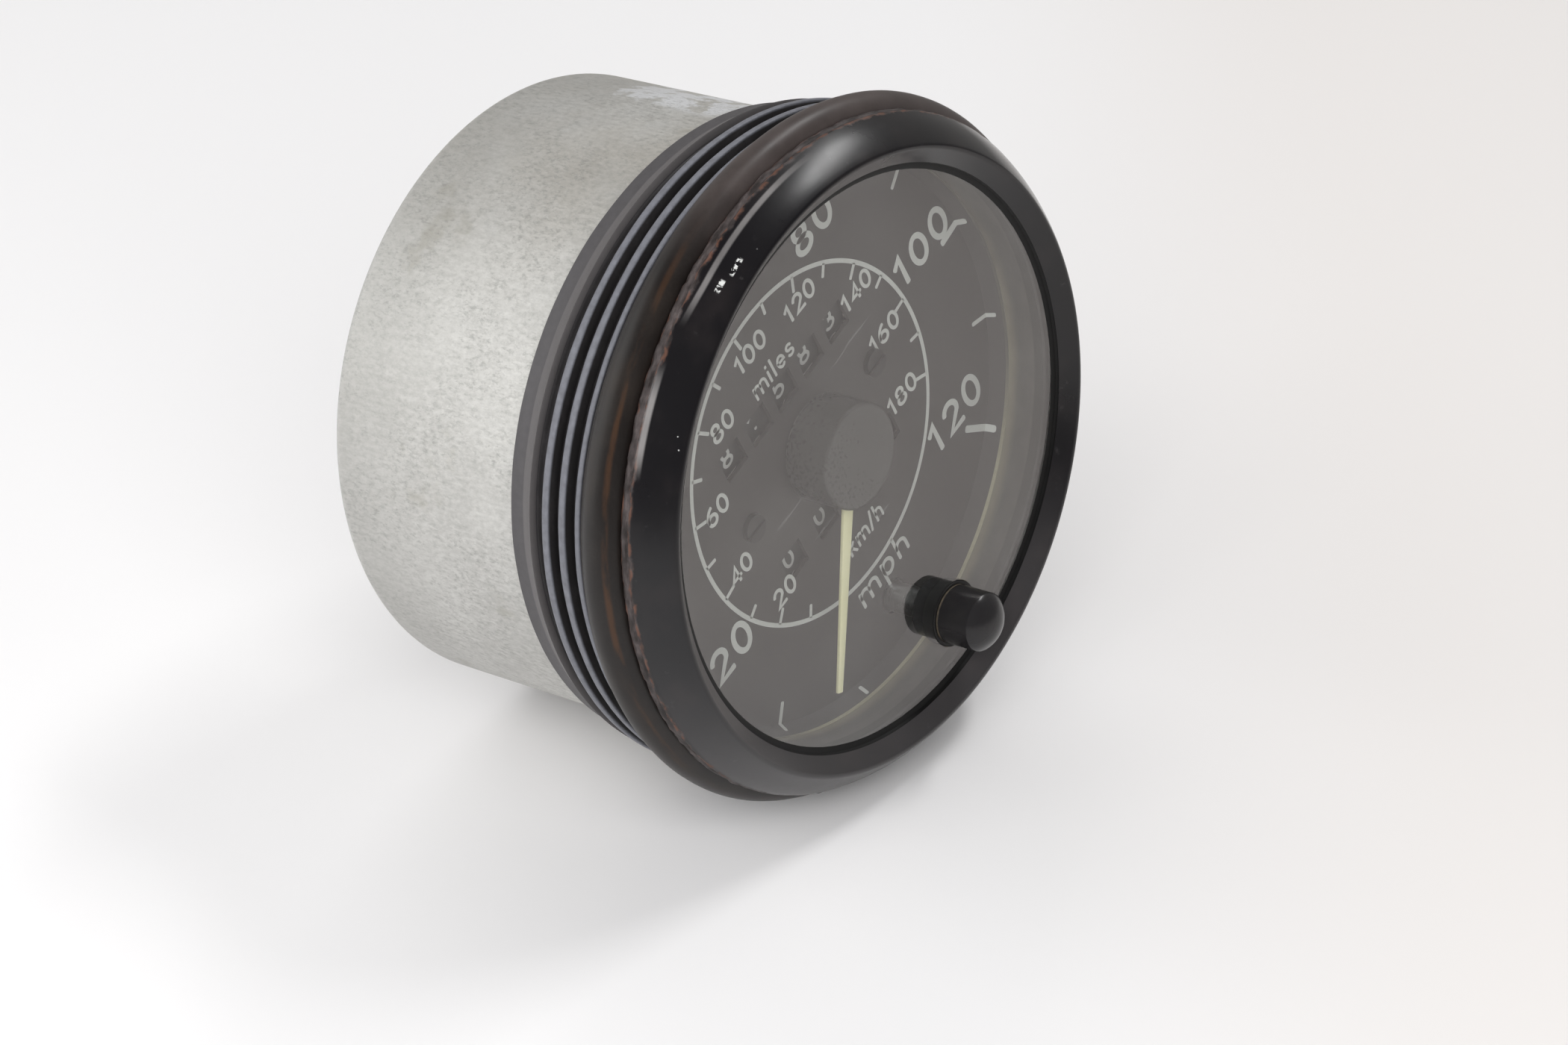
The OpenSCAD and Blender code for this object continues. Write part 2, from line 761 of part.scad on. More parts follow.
// Side plate with a window, room for the riser's worm, and a lug at the front for the dial screw.
module cheek(side) {
    x0 = side * cheek_x - cheek_t / 2;
    x1 = side * cheek_x + cheek_t / 2;
    lug_x = side * lug_in_x;
    difference() {
        block([x0, -cheek_half_y, plate_z], [x1, cheek_half_y, cheek_front_z]);
        block([x0 - 1, -cheek_open_y, plate_z], [x1 + 1, cheek_open_y, cheek_open_z]);
        if (side > 0) block(
            [x0 - 1, -worm_room_y, drum_z - worm_room_z],
            [x1 + 1, worm_room_y, drum_z + worm_room_z]
        );
    }
    block([min(lug_x, x0), -lug_half_y, cheek_front_z - lug_t], [max(lug_x, x1), lug_half_y, dial_back_z]);
}

module movement_screws() {
    color("silver") for (p = movement_screw_at) translate([p[0], p[1], 0]) difference() {
        union() {
            ring(screw_head_r, 0, back_z - screw_head_h, back_z);
            ring(screw_r, 0, back_z - 0.1, plate_z);
        }
        block([-5, -0.5, back_z - screw_head_h - 1], [5, 0.5, back_z - screw_head_h + 0.9]);
    }
}

module cross_shaft() {
    half_worm = worm_turns * worm_pitch / 2;
    color("silver") {
        translate([gear_x, cross_y, train_z]) rotate([0, 90, 0]) worm(worm_r, worm_pitch, -90);
        rod_x(axle_r, left_post_x - 0.5, gear_x - half_worm + 1, cross_y, train_z);
        rod_x(axle_r, gear_x + half_worm - 1, post_x + post_t + 0.5, cross_y, train_z);
    }
}

module worm_wheel() {
    color("#c9a45c") translate([0, cross_y, train_z]) rotate([0, 90, 0])
        gear_wheel(wheel_teeth, wheel_r, axle_r, 90);
}

module riser_shaft() {
    half_worm = worm_turns * riser_pitch / 2;
    color("silver") translate([gear_x, 0, 0]) {
        translate([0, 0, drum_z]) worm(riser_worm_r, riser_pitch, -90);
        ring(axle_r, 0, plate_back_z, drum_z - half_worm + 1);
        ring(axle_r, 0, drum_z + half_worm - 1, dial_back_z - 0.4);
    }
}

module riser_wheel() {
    color("#c9a45c") translate([gear_x, 0, train_z]) gear_wheel(wheel_teeth, wheel_r, axle_r, -90);
}

module odometer_shaft() {
    color("silver") rod_x(axle_r, -cheek_x - cheek_t / 2, cheek_x + cheek_t / 2, row_y, drum_z);
}

module trip_shaft() {
    color("silver") rod_x(axle_r, -cheek_x - cheek_t / 2, cheek_x + cheek_t / 2, -row_y, drum_z);
}

// Gear with the sleeve that joins it to the last drum of its row.
module drum_gear(y, turn, drum_face_x) {
    translate([0, y, drum_z]) difference() {
        union() {
            translate([gear_x, 0, 0]) rotate([0, 90, 0])
                gear_wheel(gear_teeth, gear_r, axle_r + run_gap, turn);
            rod_x(drum_hub_r, drum_face_x, gear_x, 0, 0);
        }
        rod_x(axle_r + run_gap, drum_face_x - 1, gear_x + face_w, 0, 0);
    }
}

module odometer_gear() {
    color("#e6e2d6") drum_gear(row_y, -90, row_x(odo_count - 1, odo_count, odo_pitch) + odo_w / 2);
}

// Its teeth stand half a tooth on, because the thread shows a crest on this side of the riser.
module trip_gear() {
    half_tooth = 180 / gear_teeth;
    color("#e6e2d6")
        drum_gear(-row_y, 90 + half_tooth, row_x(trip_count - 1, trip_count, trip_pitch) + trip_w / 2);
}

// Number drum with a recess in each side.
module number_drum(x, y, w) {
    recess = 1.2;
    color("#1e1e1e") translate([x, y, drum_z]) rotate([0, 90, 0]) rotate_extrude() difference() {
        area(axle_r + run_gap, drum_r, -w / 2, w / 2);
        for (side = [-1, 1]) translate([0, side * w / 2])
            area(drum_hub_r, drum_r - 1.5, -recess, recess);
    }
}

module odometer_drum(i) {
    number_drum(row_x(i, odo_count, odo_pitch), row_y, odo_w);
}

module trip_drum(i) {
    number_drum(row_x(i, trip_count, trip_pitch), -row_y, trip_w);
}

// Trip reset

module trip_knob() {
    edge_r = dome_h;
    color("#101012") translate([0, -knob_y, 0]) rotate_extrude() difference() {
        union() {
            area(0, knob_r, knob_back_z, knob_top_z - dome_h);
            area(0, knob_r - edge_r, knob_back_z, knob_top_z);
            intersection() {
                translate([knob_r - edge_r, knob_top_z - dome_h]) circle(edge_r);
                area(0, knob_r, knob_top_z - dome_h, knob_top_z);
            }
        }
        area(0, stem_r, knob_back_z - 1, glass_back_z);
    }
}

module knob_stem() {
    color("silver") translate([0, -knob_y, 0]) {
        ring(stem_r, 0, stem_back_z + nose_h, glass_back_z);
        ring(nose_r, 0, stem_back_z, stem_back_z + nose_h);
        ring(collar_r, 0, collar_z - collar_t, collar_z);
    }
}

module knob_grommet() {
    color("#2a2622") translate([0, -knob_y, 0])
        ring(grommet_r, knob_r + run_gap, glass_back_z - 0.2, glass_z + 0.2);
}

// Return spring: one unbroken round wire between the guide and the stem's collar.
spring_r = stem_r + 0.25 + wire_d / 2;
spring_low_z = guide_z + wire_d / 2;
spring_high_z = collar_z - collar_t - wire_d / 2;
spring_rings = 8 * coils;
wire_sides = 6;

function coil_point(i) = let (a = 360 * coils * i / spring_rings)
    [spring_r * cos(a), spring_r * sin(a), spring_low_z + (spring_high_z - spring_low_z) * i / spring_rings];
function coil_ring(i) = let (a = 360 * coils * i / spring_rings, c = coil_point(i))
    [for (k = [0:wire_sides - 1]) let (b = 360 * k / wire_sides)
        c + wire_d / 2 * [cos(b) * cos(a), cos(b) * sin(a), sin(b)]];

module knob_spring() {
    points = [for (i = [0:spring_rings]) each coil_ring(i)];
    sides = [
        for (i = [0:spring_rings - 1])
            for (k = [0:wire_sides - 1])
                let (a = i * wire_sides, b = a + wire_sides, n = (k + 1) % wire_sides)
                    each [[a + k, b + k, b + n], [a + k, b + n, a + n]]
    ];
    first = [for (k = [1:wire_sides - 2]) [0, k, k + 1]];
    last_at = spring_rings * wire_sides;
    last = [for (k = [1:wire_sides - 2]) [last_at, last_at + k + 1, last_at + k]];
    color("silver") translate([0, -knob_y, 0]) polyhedron(points, concat(sides, first, last));
}

spring_gap = min([
    for (i = [0:spring_rings - 4])
        for (j = [i + 4:spring_rings])
            norm(coil_point(i) - coil_point(j))
]) - wire_d;
echo(knob_spring_least_gap = spring_gap);

// Sheet bracket on the base plate: a column, a guide for the stem and two ears for the lever's pin.
module reset_bracket() {
    guide_end_y = -knob_y - stem_r - 3;
    ear_y = lever_pin_y - lever_pin_r - 1.5;
    slot_low_z = lever_pin_z - lever_finger - 3;
    color("#b9bbbe") difference() {
        union() {
            block([-bracket_half_x, column_y - sheet_t, plate_z], [bracket_half_x, column_y, guide_z]);
            block(
                [-bracket_half_x, column_y, plate_z],
                [bracket_half_x, cross_y - wheel_r - 1, plate_z + sheet_t]
            );
            block([-bracket_half_x, guide_end_y, guide_z - sheet_t], [bracket_half_x, column_y, guide_z]);
            for (side = [-1, 1]) {
                x = side * (lug_half_x + sheet_t / 2);
                block(
                    [x - sheet_t / 2, ear_y, lever_pin_z - 2.5],
                    [x + sheet_t / 2, column_y, lever_pin_z + 2.5]
                );
            }
        }
        rod_z(stem_r + run_gap, 0, -knob_y, guide_z - sheet_t - 1, guide_z + 1);
        rod_x(lever_pin_r, -bracket_half_x - 1, bracket_half_x + 1, lever_pin_y, lever_pin_z);
        block([-lug_half_x, column_y - sheet_t - 1, slot_low_z], [lug_half_x, column_y + 1, lever_pin_z + 1]);
    }
}

// Bell crank: a pad under the stem and a finger towards the base.
module reset_lever() {
    pad_y = -knob_y - stem_r;
    color("#a8abb0") difference() {
        union() {
            block(
                [-lever_half_x, pad_y, lever_pin_z - lever_t / 2],
                [lever_half_x, lever_pin_y, lever_pin_z + lever_t / 2]
            );
            rod_x(lever_t / 2, -lever_half_x, lever_half_x, lever_pin_y, lever_pin_z);
            block(
                [-lever_half_x, lever_pin_y - lever_t / 2, lever_pin_z - lever_finger],
                [lever_half_x, lever_pin_y + lever_t / 2, lever_pin_z]
            );
        }
        rod_x(lever_pin_r + run_gap, -lever_half_x - 1, lever_half_x + 1, lever_pin_y, lever_pin_z);
    }
}

module lever_pin() {
    color("silver")
        rod_x(lever_pin_r, -lug_half_x - sheet_t, lug_half_x + sheet_t, lever_pin_y, lever_pin_z);
}

// Rear fittings

module lamp_holders() {
    color("#26221f") for (side = [-1, 1]) translate([side * lamp_x, lamp_y, 0]) difference() {
        union() {
            ring(lamp_r + lamp_flange_w, 0, back_z - lamp_flange_t, back_z);
            ring(lamp_r, 0, back_z - lamp_grip_len, back_in_z + lamp_depth);
        }
        rod_z(bulb_r, 0, 0, back_z, back_in_z + lamp_depth + 1);
    }
}

module lamp_bulbs() {
    color("ghostwhite") for (side = [-1, 1]) translate([side * lamp_x, lamp_y, 0]) {
        ring(bulb_r, 0, back_z + lamp_base_t, back_in_z + lamp_depth + bulb_len - bulb_r);
        translate([0, 0, back_in_z + lamp_depth + bulb_len - bulb_r]) sphere(bulb_r);
    }
}

module earth_tab() {
    color("goldenrod") {
        block(
            [-tab_w / 2, tab_at_y - tab_foot / 2, back_z - tab_t],
            [tab_w / 2, tab_at_y + tab_foot / 2, back_z]
        );
        block(
            [-tab_w / 2, tab_at_y + tab_foot / 2 - tab_t, back_z - tab_len],
            [tab_w / 2, tab_at_y + tab_foot / 2, back_z - tab_t / 2]
        );
    }
}

placed() case();
placed() bezel();
placed() glass_seal();
placed() glass();
placed() spacer_ring();
placed() dial_gasket();
placed() dial_plate();
placed() dial_screws();
placed() trim_ring();
placed() ribbed_sleeve();
placed() pointer_blade();
placed() pointer_hub();
placed() pointer_spindle();
placed() drag_cup();
placed() hairspring();
placed() bridge();
placed() bridge_bush();
placed() bridge_screws();
placed() magnet();
placed() flux_cup();
placed() drive_shaft();
placed() drive_boss();
placed() movement_frame();
placed() movement_screws();
placed() cross_shaft();
placed() worm_wheel();
placed() riser_shaft();
placed() riser_wheel();
placed() odometer_shaft();
placed() odometer_gear();
placed() odometer_drum(0);  // odometer_drum_1
placed() odometer_drum(1);  // odometer_drum_2
placed() odometer_drum(2);  // odometer_drum_3
placed() odometer_drum(3);  // odometer_drum_4
placed() odometer_drum(4);  // odometer_drum_5
placed() trip_shaft();
placed() trip_gear();
placed() trip_drum(0);  // trip_drum_1
placed() trip_drum(1);  // trip_drum_2
placed() trip_drum(2);  // trip_drum_3
placed() trip_drum(3);  // trip_drum_4
placed() trip_knob();
placed() knob_stem();
placed() knob_grommet();
placed() knob_spring();
placed() reset_bracket();
placed() reset_lever();
placed() lever_pin();
placed() lamp_holders();
placed() lamp_bulbs();
placed() earth_tab();
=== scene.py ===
"""Looks of a mechanical dashboard speedometer that lies on a pale table."""

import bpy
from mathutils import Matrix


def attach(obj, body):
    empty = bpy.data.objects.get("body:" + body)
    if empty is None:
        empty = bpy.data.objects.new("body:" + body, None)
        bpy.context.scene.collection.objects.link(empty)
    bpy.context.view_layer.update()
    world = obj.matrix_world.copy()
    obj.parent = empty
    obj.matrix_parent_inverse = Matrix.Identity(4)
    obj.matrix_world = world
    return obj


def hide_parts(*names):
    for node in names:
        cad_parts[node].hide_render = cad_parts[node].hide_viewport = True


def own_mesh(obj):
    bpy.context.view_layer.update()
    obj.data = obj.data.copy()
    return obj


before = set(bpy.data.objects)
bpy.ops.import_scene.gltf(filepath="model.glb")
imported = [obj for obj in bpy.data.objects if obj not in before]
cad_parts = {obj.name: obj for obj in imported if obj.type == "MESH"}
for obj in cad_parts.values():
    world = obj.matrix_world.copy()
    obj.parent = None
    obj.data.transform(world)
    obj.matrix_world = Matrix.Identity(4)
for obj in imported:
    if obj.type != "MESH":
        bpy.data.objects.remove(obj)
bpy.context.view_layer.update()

import logging
import math
from dataclasses import dataclass, field
from enum import Enum
from functools import partial
from typing import Callable, Iterable, Sequence

import bpy
from mathutils import Matrix, Vector

LOG = logging.getLogger("speedometer")
MM = 0.001
PANEL_Y = -4.9
Point2 = tuple[float, float]
Outline = list[Point2]
Stroke = tuple[Outline, bool]
Lay = Callable[[float, float, float], Vector]
Share = Callable[[float, float], float]


def row(x: float, y: float, z: float) -> Vector:
    """Turns a place on the dial into the part's frame.

    Args:
        x: Millimetres to the right of the axis.
        y: Millimetres towards twelve o'clock.
        z: Millimetres from the panel towards the reader.

    Returns:
        The place in metres.
    """
    return Vector((x * MM, (PANEL_Y - z) * MM, y * MM))


def clockwise(angle: float, radius: float) -> Point2:
    """Gives the place at an angle clockwise from twelve o'clock.

    Args:
        angle: Degrees clockwise from twelve o'clock.
        radius: Millimetres from the axis.

    Returns:
        The x and y of the place, in millimetres.
    """
    turn = math.radians(angle)
    return radius * math.sin(turn), radius * math.cos(turn)


def arc(cx: float, cy: float, rx: float, ry: float, start: float, end: float, steps: int = 10) -> Outline:
    """Gives points along an elliptical arc.

    Args:
        cx: Centre, across.
        cy: Centre, up.
        rx: Radius across.
        ry: Radius up.
        start: First angle in degrees, anticlockwise from the right.
        end: Last angle in degrees.
        steps: Number of stretches.

    Returns:
        The points, both ends included.
    """
    span = [math.radians(start + (end - start) * i / steps) for i in range(steps + 1)]
    return [(cx + rx * math.cos(a), cy + ry * math.sin(a)) for a in span]


class Value:
    """A shader value that takes part in Python arithmetic."""

    def __init__(self, graph: "Graph", socket: bpy.types.NodeSocket) -> None:
        """Keeps the graph and the socket."""
        self.graph = graph
        self.socket = socket

    def math(self, operation: str, *others: "Value | float", flip: bool = False) -> "Value":
        """Adds a Math node.

        Args:
            operation: The node's operation.
            others: The further operands.
            flip: Whether this value is the second operand.

        Returns:
            The result.
        """
        operands = [self, *others]
        if flip:
            operands.reverse()
        node = self.graph.node("ShaderNodeMath", {"operation": operation}, dict(enumerate(operands)))
        return Value(self.graph, node.outputs[0])

    def __add__(self, other: "Value | float") -> "Value":
        """Adds."""
        return self.math("ADD", other)

    __radd__ = __add__

    def __sub__(self, other: "Value | float") -> "Value":
        """Subtracts."""
        return self.math("SUBTRACT", other)

    def __rsub__(self, other: float) -> "Value":
        """Subtracts from a number."""
        return self.math("SUBTRACT", other, flip=True)

    def __mul__(self, other: "Value | float") -> "Value":
        """Multiplies."""
        return self.math("MULTIPLY", other)

    __rmul__ = __mul__

    def between(self, low: float, high: float) -> "Value":
        """Goes smoothly from 0 at low to 1 at high.

        Args:
            low: Where the result is 0.
            high: Where the result is 1, which may lie under low.

        Returns:
            The smooth step.
        """
        node = self.graph.node(
            "ShaderNodeMapRange",
            {"interpolation_type": "SMOOTHSTEP", "clamp": True},
            {"Value": self, "From Min": low, "From Max": high},
        )
        return Value(self.graph, node.outputs[0])

    def within(self, low: float, low_full: float, high_full: float, high: float) -> "Value":
        """Is 1 from low_full to high_full, and goes smoothly to 0 at low and at high."""
        return self.between(low, low_full) * self.between(high, high_full)

    def clipped(self) -> "Value":
        """Keeps the value from 0 to 1."""
        return self.math("MINIMUM", 1.0).math("MAXIMUM", 0.0)


Colour = tuple[float, float, float]


class Graph:
    """A material, or the world, whose nodes are added by name."""

    def __init__(self, name: str, world: bool = False) -> None:
        """Starts an empty node tree.

        Args:
            name: Its name.
            world: Whether it is the world's, where a place is a direction.
        """
        self.owner = bpy.data.worlds.new(name) if world else bpy.data.materials.new(name)
        self.owner.use_nodes = True
        self.tree = self.owner.node_tree
        self.tree.nodes.clear()
        self.output = self.tree.nodes.new("ShaderNodeOutputWorld" if world else "ShaderNodeOutputMaterial")
        place = self.node("ShaderNodeTexCoord", {}, {})
        self.place = place.outputs["Generated" if world else "Object"]
        split = self.node("ShaderNodeSeparateXYZ", {}, {0: self.place})
        self.x, self.y, self.z = (Value(self, out) for out in split.outputs)

    def node(self, kind: str, settings: dict, inputs: dict) -> bpy.types.Node:
        """Adds one node.

        Args:
            kind: The node's type.
            settings: Its properties; the key stops gives a colour ramp's stops.
            inputs: Values or links by socket name or number.

        Returns:
            The node.
        """
        node = self.tree.nodes.new(kind)
        for key, value in settings.items():
            if key == "stops":
                ramp = node.color_ramp
                while len(ramp.elements) < len(value):
                    ramp.elements.new(1.0)
                for element, (place, colour) in zip(ramp.elements, value):
                    element.position = place
                    element.color = (*colour, 1.0)
            else:
                setattr(node, key, value)
        for key, value in inputs.items():
            socket = node.inputs[key]
            if isinstance(value, Value):
                value = value.socket
            if isinstance(value, bpy.types.NodeSocket):
                self.tree.links.new(value, socket)
            elif socket.type == "RGBA" and len(value) == 3:
                socket.default_value = (*value, 1.0)
            else:
                socket.default_value = value
        return node

    def shifted(self, shift: float, stretch: Sequence[float] = (1, 1, 1)) -> bpy.types.NodeSocket:
        """Moves and stretches the places that a pattern is read at.

        Args:
            shift: Offset that makes the pattern differ from another one.
            stretch: Scale along each axis.

        Returns:
            The places.
        """
        node = self.node("ShaderNodeMapping", {}, {
            "Vector": self.place, "Scale": tuple(stretch), "Location": (shift, shift * 0.7, shift * 1.3)})
        return node.outputs[0]

    def noise(self, scale: float, detail: float = 3.0, rough: float = 0.5,
              stretch: Sequence[float] = (1, 1, 1), shift: float = 0.0) -> Value:
        """Adds a noise over the part.

        Args:
            scale: Waves per metre.
            detail: Octaves.
            rough: Share of the finer octaves.
            stretch: Scale along each axis.
            shift: Offset of the pattern.

        Returns:
            The noise, about 0 to 1.
        """
        node = self.node("ShaderNodeTexNoise", {"noise_dimensions": "3D"}, {
            "Vector": self.shifted(shift, stretch), "Scale": scale, "Detail": detail, "Roughness": rough})
        return Value(self, node.outputs["Fac"])

    def cells(self, scale: float, shift: float = 0.0) -> Value:
        """Adds a cell pattern.

        Args:
            scale: Cells per metre.
            shift: Offset of the pattern.

        Returns:
            The distance to a cell's middle.
        """
        node = self.node("ShaderNodeTexVoronoi", {"feature": "F1"}, {
            "Vector": self.shifted(shift), "Scale": scale})
        return Value(self, node.outputs["Distance"])

    def ring_noise(self, turns: float, along: float, detail: float = 3.0, shift: float = 0.0) -> Value:
        """Adds a noise that follows the round of the part.

        Args:
            turns: Waves round the axis, by radian.
            along: Waves along the axis, per metre.
            detail: Octaves.
            shift: Offset of the pattern.

        Returns:
            The noise.
        """
        place = self.node("ShaderNodeCombineXYZ", {}, {
            0: self.angle * turns + shift, 1: self.y * along, 2: self.radius * along})
        node = self.node("ShaderNodeTexNoise", {"noise_dimensions": "3D"}, {
            "Vector": place.outputs[0], "Scale": 1.0, "Detail": detail, "Roughness": 0.55})
        return Value(self, node.outputs["Fac"])

    @property
    def radius(self) -> Value:
        """Distance from the dial's axis, in metres."""
        return (self.x * self.x + self.z * self.z).math("SQRT")

    @property
    def reach(self) -> Value:
        """Distance from the dial's axis, in millimetres."""
        return self.radius * 1000

    @property
    def angle(self) -> Value:
        """Angle clockwise from twelve o'clock, in radians."""
        return self.x.math("ARCTAN2", self.z)

    @property
    def height(self) -> Value:
        """Millimetres from the panel towards the reader."""
        return (self.y * -1000.0) + PANEL_Y

    def mix(self, share: "Value | float", first: "Colour | bpy.types.NodeSocket",
            second: "Colour | bpy.types.NodeSocket") -> bpy.types.NodeSocket:
        """Mixes two colours.

        Args:
            share: Share of the second colour.
            first: A colour or a link.
            second: A colour or a link.

        Returns:
            The mixed colour.
        """
        node = self.node("ShaderNodeMix", {"data_type": "RGBA", "blend_type": "MIX"}, {
            0: share, 6: first, 7: second})
        return node.outputs[2]

    def bump(self, height: Value, depth_mm: float, strength: float = 1.0,
             under: bpy.types.NodeSocket | None = None) -> bpy.types.NodeSocket:
        """Adds relief.

        Args:
            height: Relief from 0 to 1.
            depth_mm: Its depth.
            strength: Its strength.
            under: Another relief that it lies on.

        Returns:
            The normal.
        """
        inputs = {"Height": height, "Distance": depth_mm * MM, "Strength": strength}
        if under is not None:
            inputs["Normal"] = under
        return self.node("ShaderNodeBump", {}, inputs).outputs[0]

    def surface(self, **inputs: object) -> bpy.types.Node:
        """Adds the main shader, with spaces in socket names written as underscores."""
        return self.node("ShaderNodeBsdfPrincipled", {}, {k.replace("_", " "): v for k, v in inputs.items()})

    def along(self, direction: Vector, start: Vector = Vector()) -> Value:
        """Measures places along a direction.

        Args:
            direction: The direction.
            start: Where the measure starts.

        Returns:
            The distance from the start, in metres.
        """
        away = self.node("ShaderNodeVectorMath", {"operation": "SUBTRACT"}, {0: self.place, 1: tuple(start)})
        node = self.node("ShaderNodeVectorMath", {"operation": "DOT_PRODUCT"}, {
            0: away.outputs[0], 1: tuple(direction)})
        return Value(self, node.outputs["Value"])

    def rays(self, kind: str) -> Value:
        """Tells whether light is followed along rays of a kind."""
        return Value(self, self.node("ShaderNodeLightPath", {}, {}).outputs["Is %s Ray" % kind])

    def close(self, shader: bpy.types.Node) -> "bpy.types.Material | bpy.types.World":
        """Links the last shader and gives the material or the world."""
        self.tree.links.new(shader.outputs[0], self.output.inputs["Surface"])
        return self.owner


@dataclass(frozen=True)
class ZincPlate:
    """Dull zinc plating with speckles, streaks, stains, pits and a worn patch."""

    light: Colour = (0.66, 0.655, 0.63)
    dark: Colour = (0.4, 0.395, 0.375)
    stain: Colour = (0.3, 0.28, 0.22)
    warm: Colour = (0.46, 0.42, 0.35)
    worn: Colour = (0.8, 0.81, 0.83)
    grime: Colour = (0.36, 0.355, 0.335)
    edge: Colour = (0.72, 0.72, 0.7)
    pit: Colour = (0.27, 0.27, 0.255)

    def make(self) -> bpy.types.Material:
        """Builds the material.

        Returns:
            The material.
        """
        g = Graph("zinc_plate")
        fine = g.noise(1500, 3, 0.7, (1, 0.5, 1))
        cloud = g.noise(38, 5, 0.6, shift=3.0)
        streak = g.ring_noise(60, 160, 4, 2.0)
        shade = (fine * 0.5 + cloud * 0.45 + streak * 0.2 - 0.09).between(0.2, 0.75)
        colour = g.mix(shade, self.dark, self.light)
        stain = g.noise(60, 4, 0.65, shift=9.0).between(0.6, 0.72)
        colour = g.mix(stain * 0.45, colour, self.stain)
        warm = g.angle.within(-0.5, 0.2, 1.6, 2.6) * g.noise(30, 4, 0.6, shift=14.0).between(0.3, 0.65)
        colour = g.mix(warm * 0.35, colour, self.warm)
        worn = g.noise(170, 4, 0.6, shift=5.0).between(0.44, 0.52)
        worn = worn * g.angle.within(0.52, 0.6, 1.02, 1.15) * g.height.within(-46, -40, -21, -17)
        colour = g.mix(worn * 0.8, colour, self.worn)
        grime = g.height.between(-30, -54) * (cloud * 0.6 + 0.5)
        colour = g.mix(grime.clipped() * 0.42, colour, self.grime)
        colour = g.mix(g.height.between(-54.2, -56.0) * 0.4, colour, self.edge)
        pits = g.noise(1500, 5, 0.8, (1, 0.5, 1), 12.0).between(0.47, 0.66)
        pits = pits * g.noise(70, 3, 0.6, shift=4.0).between(0.25, 0.6)
        colour = g.mix(pits * 0.55, colour, self.pit)
        rough = 0.44 + fine * 0.2 + cloud * 0.1
        normal = g.bump(fine, 0.03, 0.5, g.bump(g.noise(18, 2, shift=7.0), 0.25, 0.35))
        return g.close(g.surface(Base_Color=colour, Metallic=0.6, Roughness=rough, Normal=normal))


@dataclass(frozen=True)
class Rubber:
    """Aged rubber, with a dusty bloom and, on request, painted highlights on its ribs or rusty stains."""

    name: str
    colour: Colour = (0.022, 0.021, 0.022)
    bloom: Colour = (0.10, 0.10, 0.11)
    stained: bool = False
    ribbed: bool = False
    rough: float = 0.42
    rib_top: Colour = (0.19, 0.195, 0.222)
    band: Colour = (0.088, 0.083, 0.087)
    slope: Colour = (0.17, 0.158, 0.155)
    rust: Colour = (0.1, 0.04, 0.012)
    brown: Colour = (0.03, 0.021, 0.015)
    dust: Colour = (0.092, 0.074, 0.07)

    def make(self) -> bpy.types.Material:
        """Builds the material.

        Returns:
            The material.
        """
        g = Graph(self.name)
        grain = g.noise(2200, 2, 0.6)
        cloud = g.ring_noise(9, 260, 4, 1.0)
        colour = g.mix((cloud * 0.7 + grain * 0.3).between(0.42, 0.8) * 0.7, self.colour, self.bloom)
        if self.ribbed:
            colour = self.ribs(g, colour)
        if self.stained:
            colour = self.stains(g, colour, cloud)
        scratch = g.ring_noise(260, 900, 2, 3.0)
        rough = self.rough + cloud * 0.16 + grain * 0.08
        normal = g.bump(grain, 0.015, 0.25, g.bump(scratch, 0.04, 0.15))
        return g.close(g.surface(Base_Color=colour, Roughness=rough, Specular_IOR_Level=0.35, Normal=normal))

    def ribs(self, g: Graph, colour: bpy.types.NodeSocket) -> bpy.types.NodeSocket:
        """Paints highlights on the tops of the ribs, and lightens the rear band and the slope in front of it.

        Args:
            g: The material.
            colour: The rubber's colour.

        Returns:
            The colour with its painted rib highlights and its lighter band and slope.
        """
        worn = g.ring_noise(40, 800, 4, 7.0)
        # Painted highlight: the tops of the ribs are lightened to a blue-grey sheen; worn only makes it, and
        # the rear band, uneven.
        top = g.reach.between(53.25, 53.7) * (worn * 0.8 + 0.4)
        colour = g.mix(top.clipped() * 0.9, colour, self.rib_top)
        behind = g.height.between(-9.6, -10.2)
        rear = behind * g.reach.between(51.4, 51.7) * (worn * 0.5 + 0.55)
        colour = g.mix(rear.clipped() * 0.8, colour, self.band)
        return g.mix(behind * g.reach.between(51.72, 51.85) * 0.35, colour, self.slope)

    def stains(self, g: Graph, colour: bpy.types.NodeSocket, cloud: Value) -> bpy.types.NodeSocket:
        """Adds rust on the left, brown patches all round and dust on the upper right.

        Args:
            g: The material.
            colour: The rubber's colour.
            cloud: The bloom's pattern.

        Returns:
            The colour with its stains.
        """
        rust = g.ring_noise(5, 420, 5, 6.0).between(0.42, 0.62)
        rust = rust * g.angle.within(-2.2, -1.3, -0.5, 0.1) * g.height.within(5.5, 6.0, 6.3, 6.7)
        colour = g.mix(rust * 0.36, colour, self.rust)
        brown = g.ring_noise(4, 150, 3, 11.0).between(0.45, 0.7)
        colour = g.mix(brown * 0.3, colour, self.brown)
        upper = g.angle.within(-0.25, 0.2, 1.2, 1.7)
        return g.mix(upper * (cloud * 0.6 + 0.25), colour, self.dust)


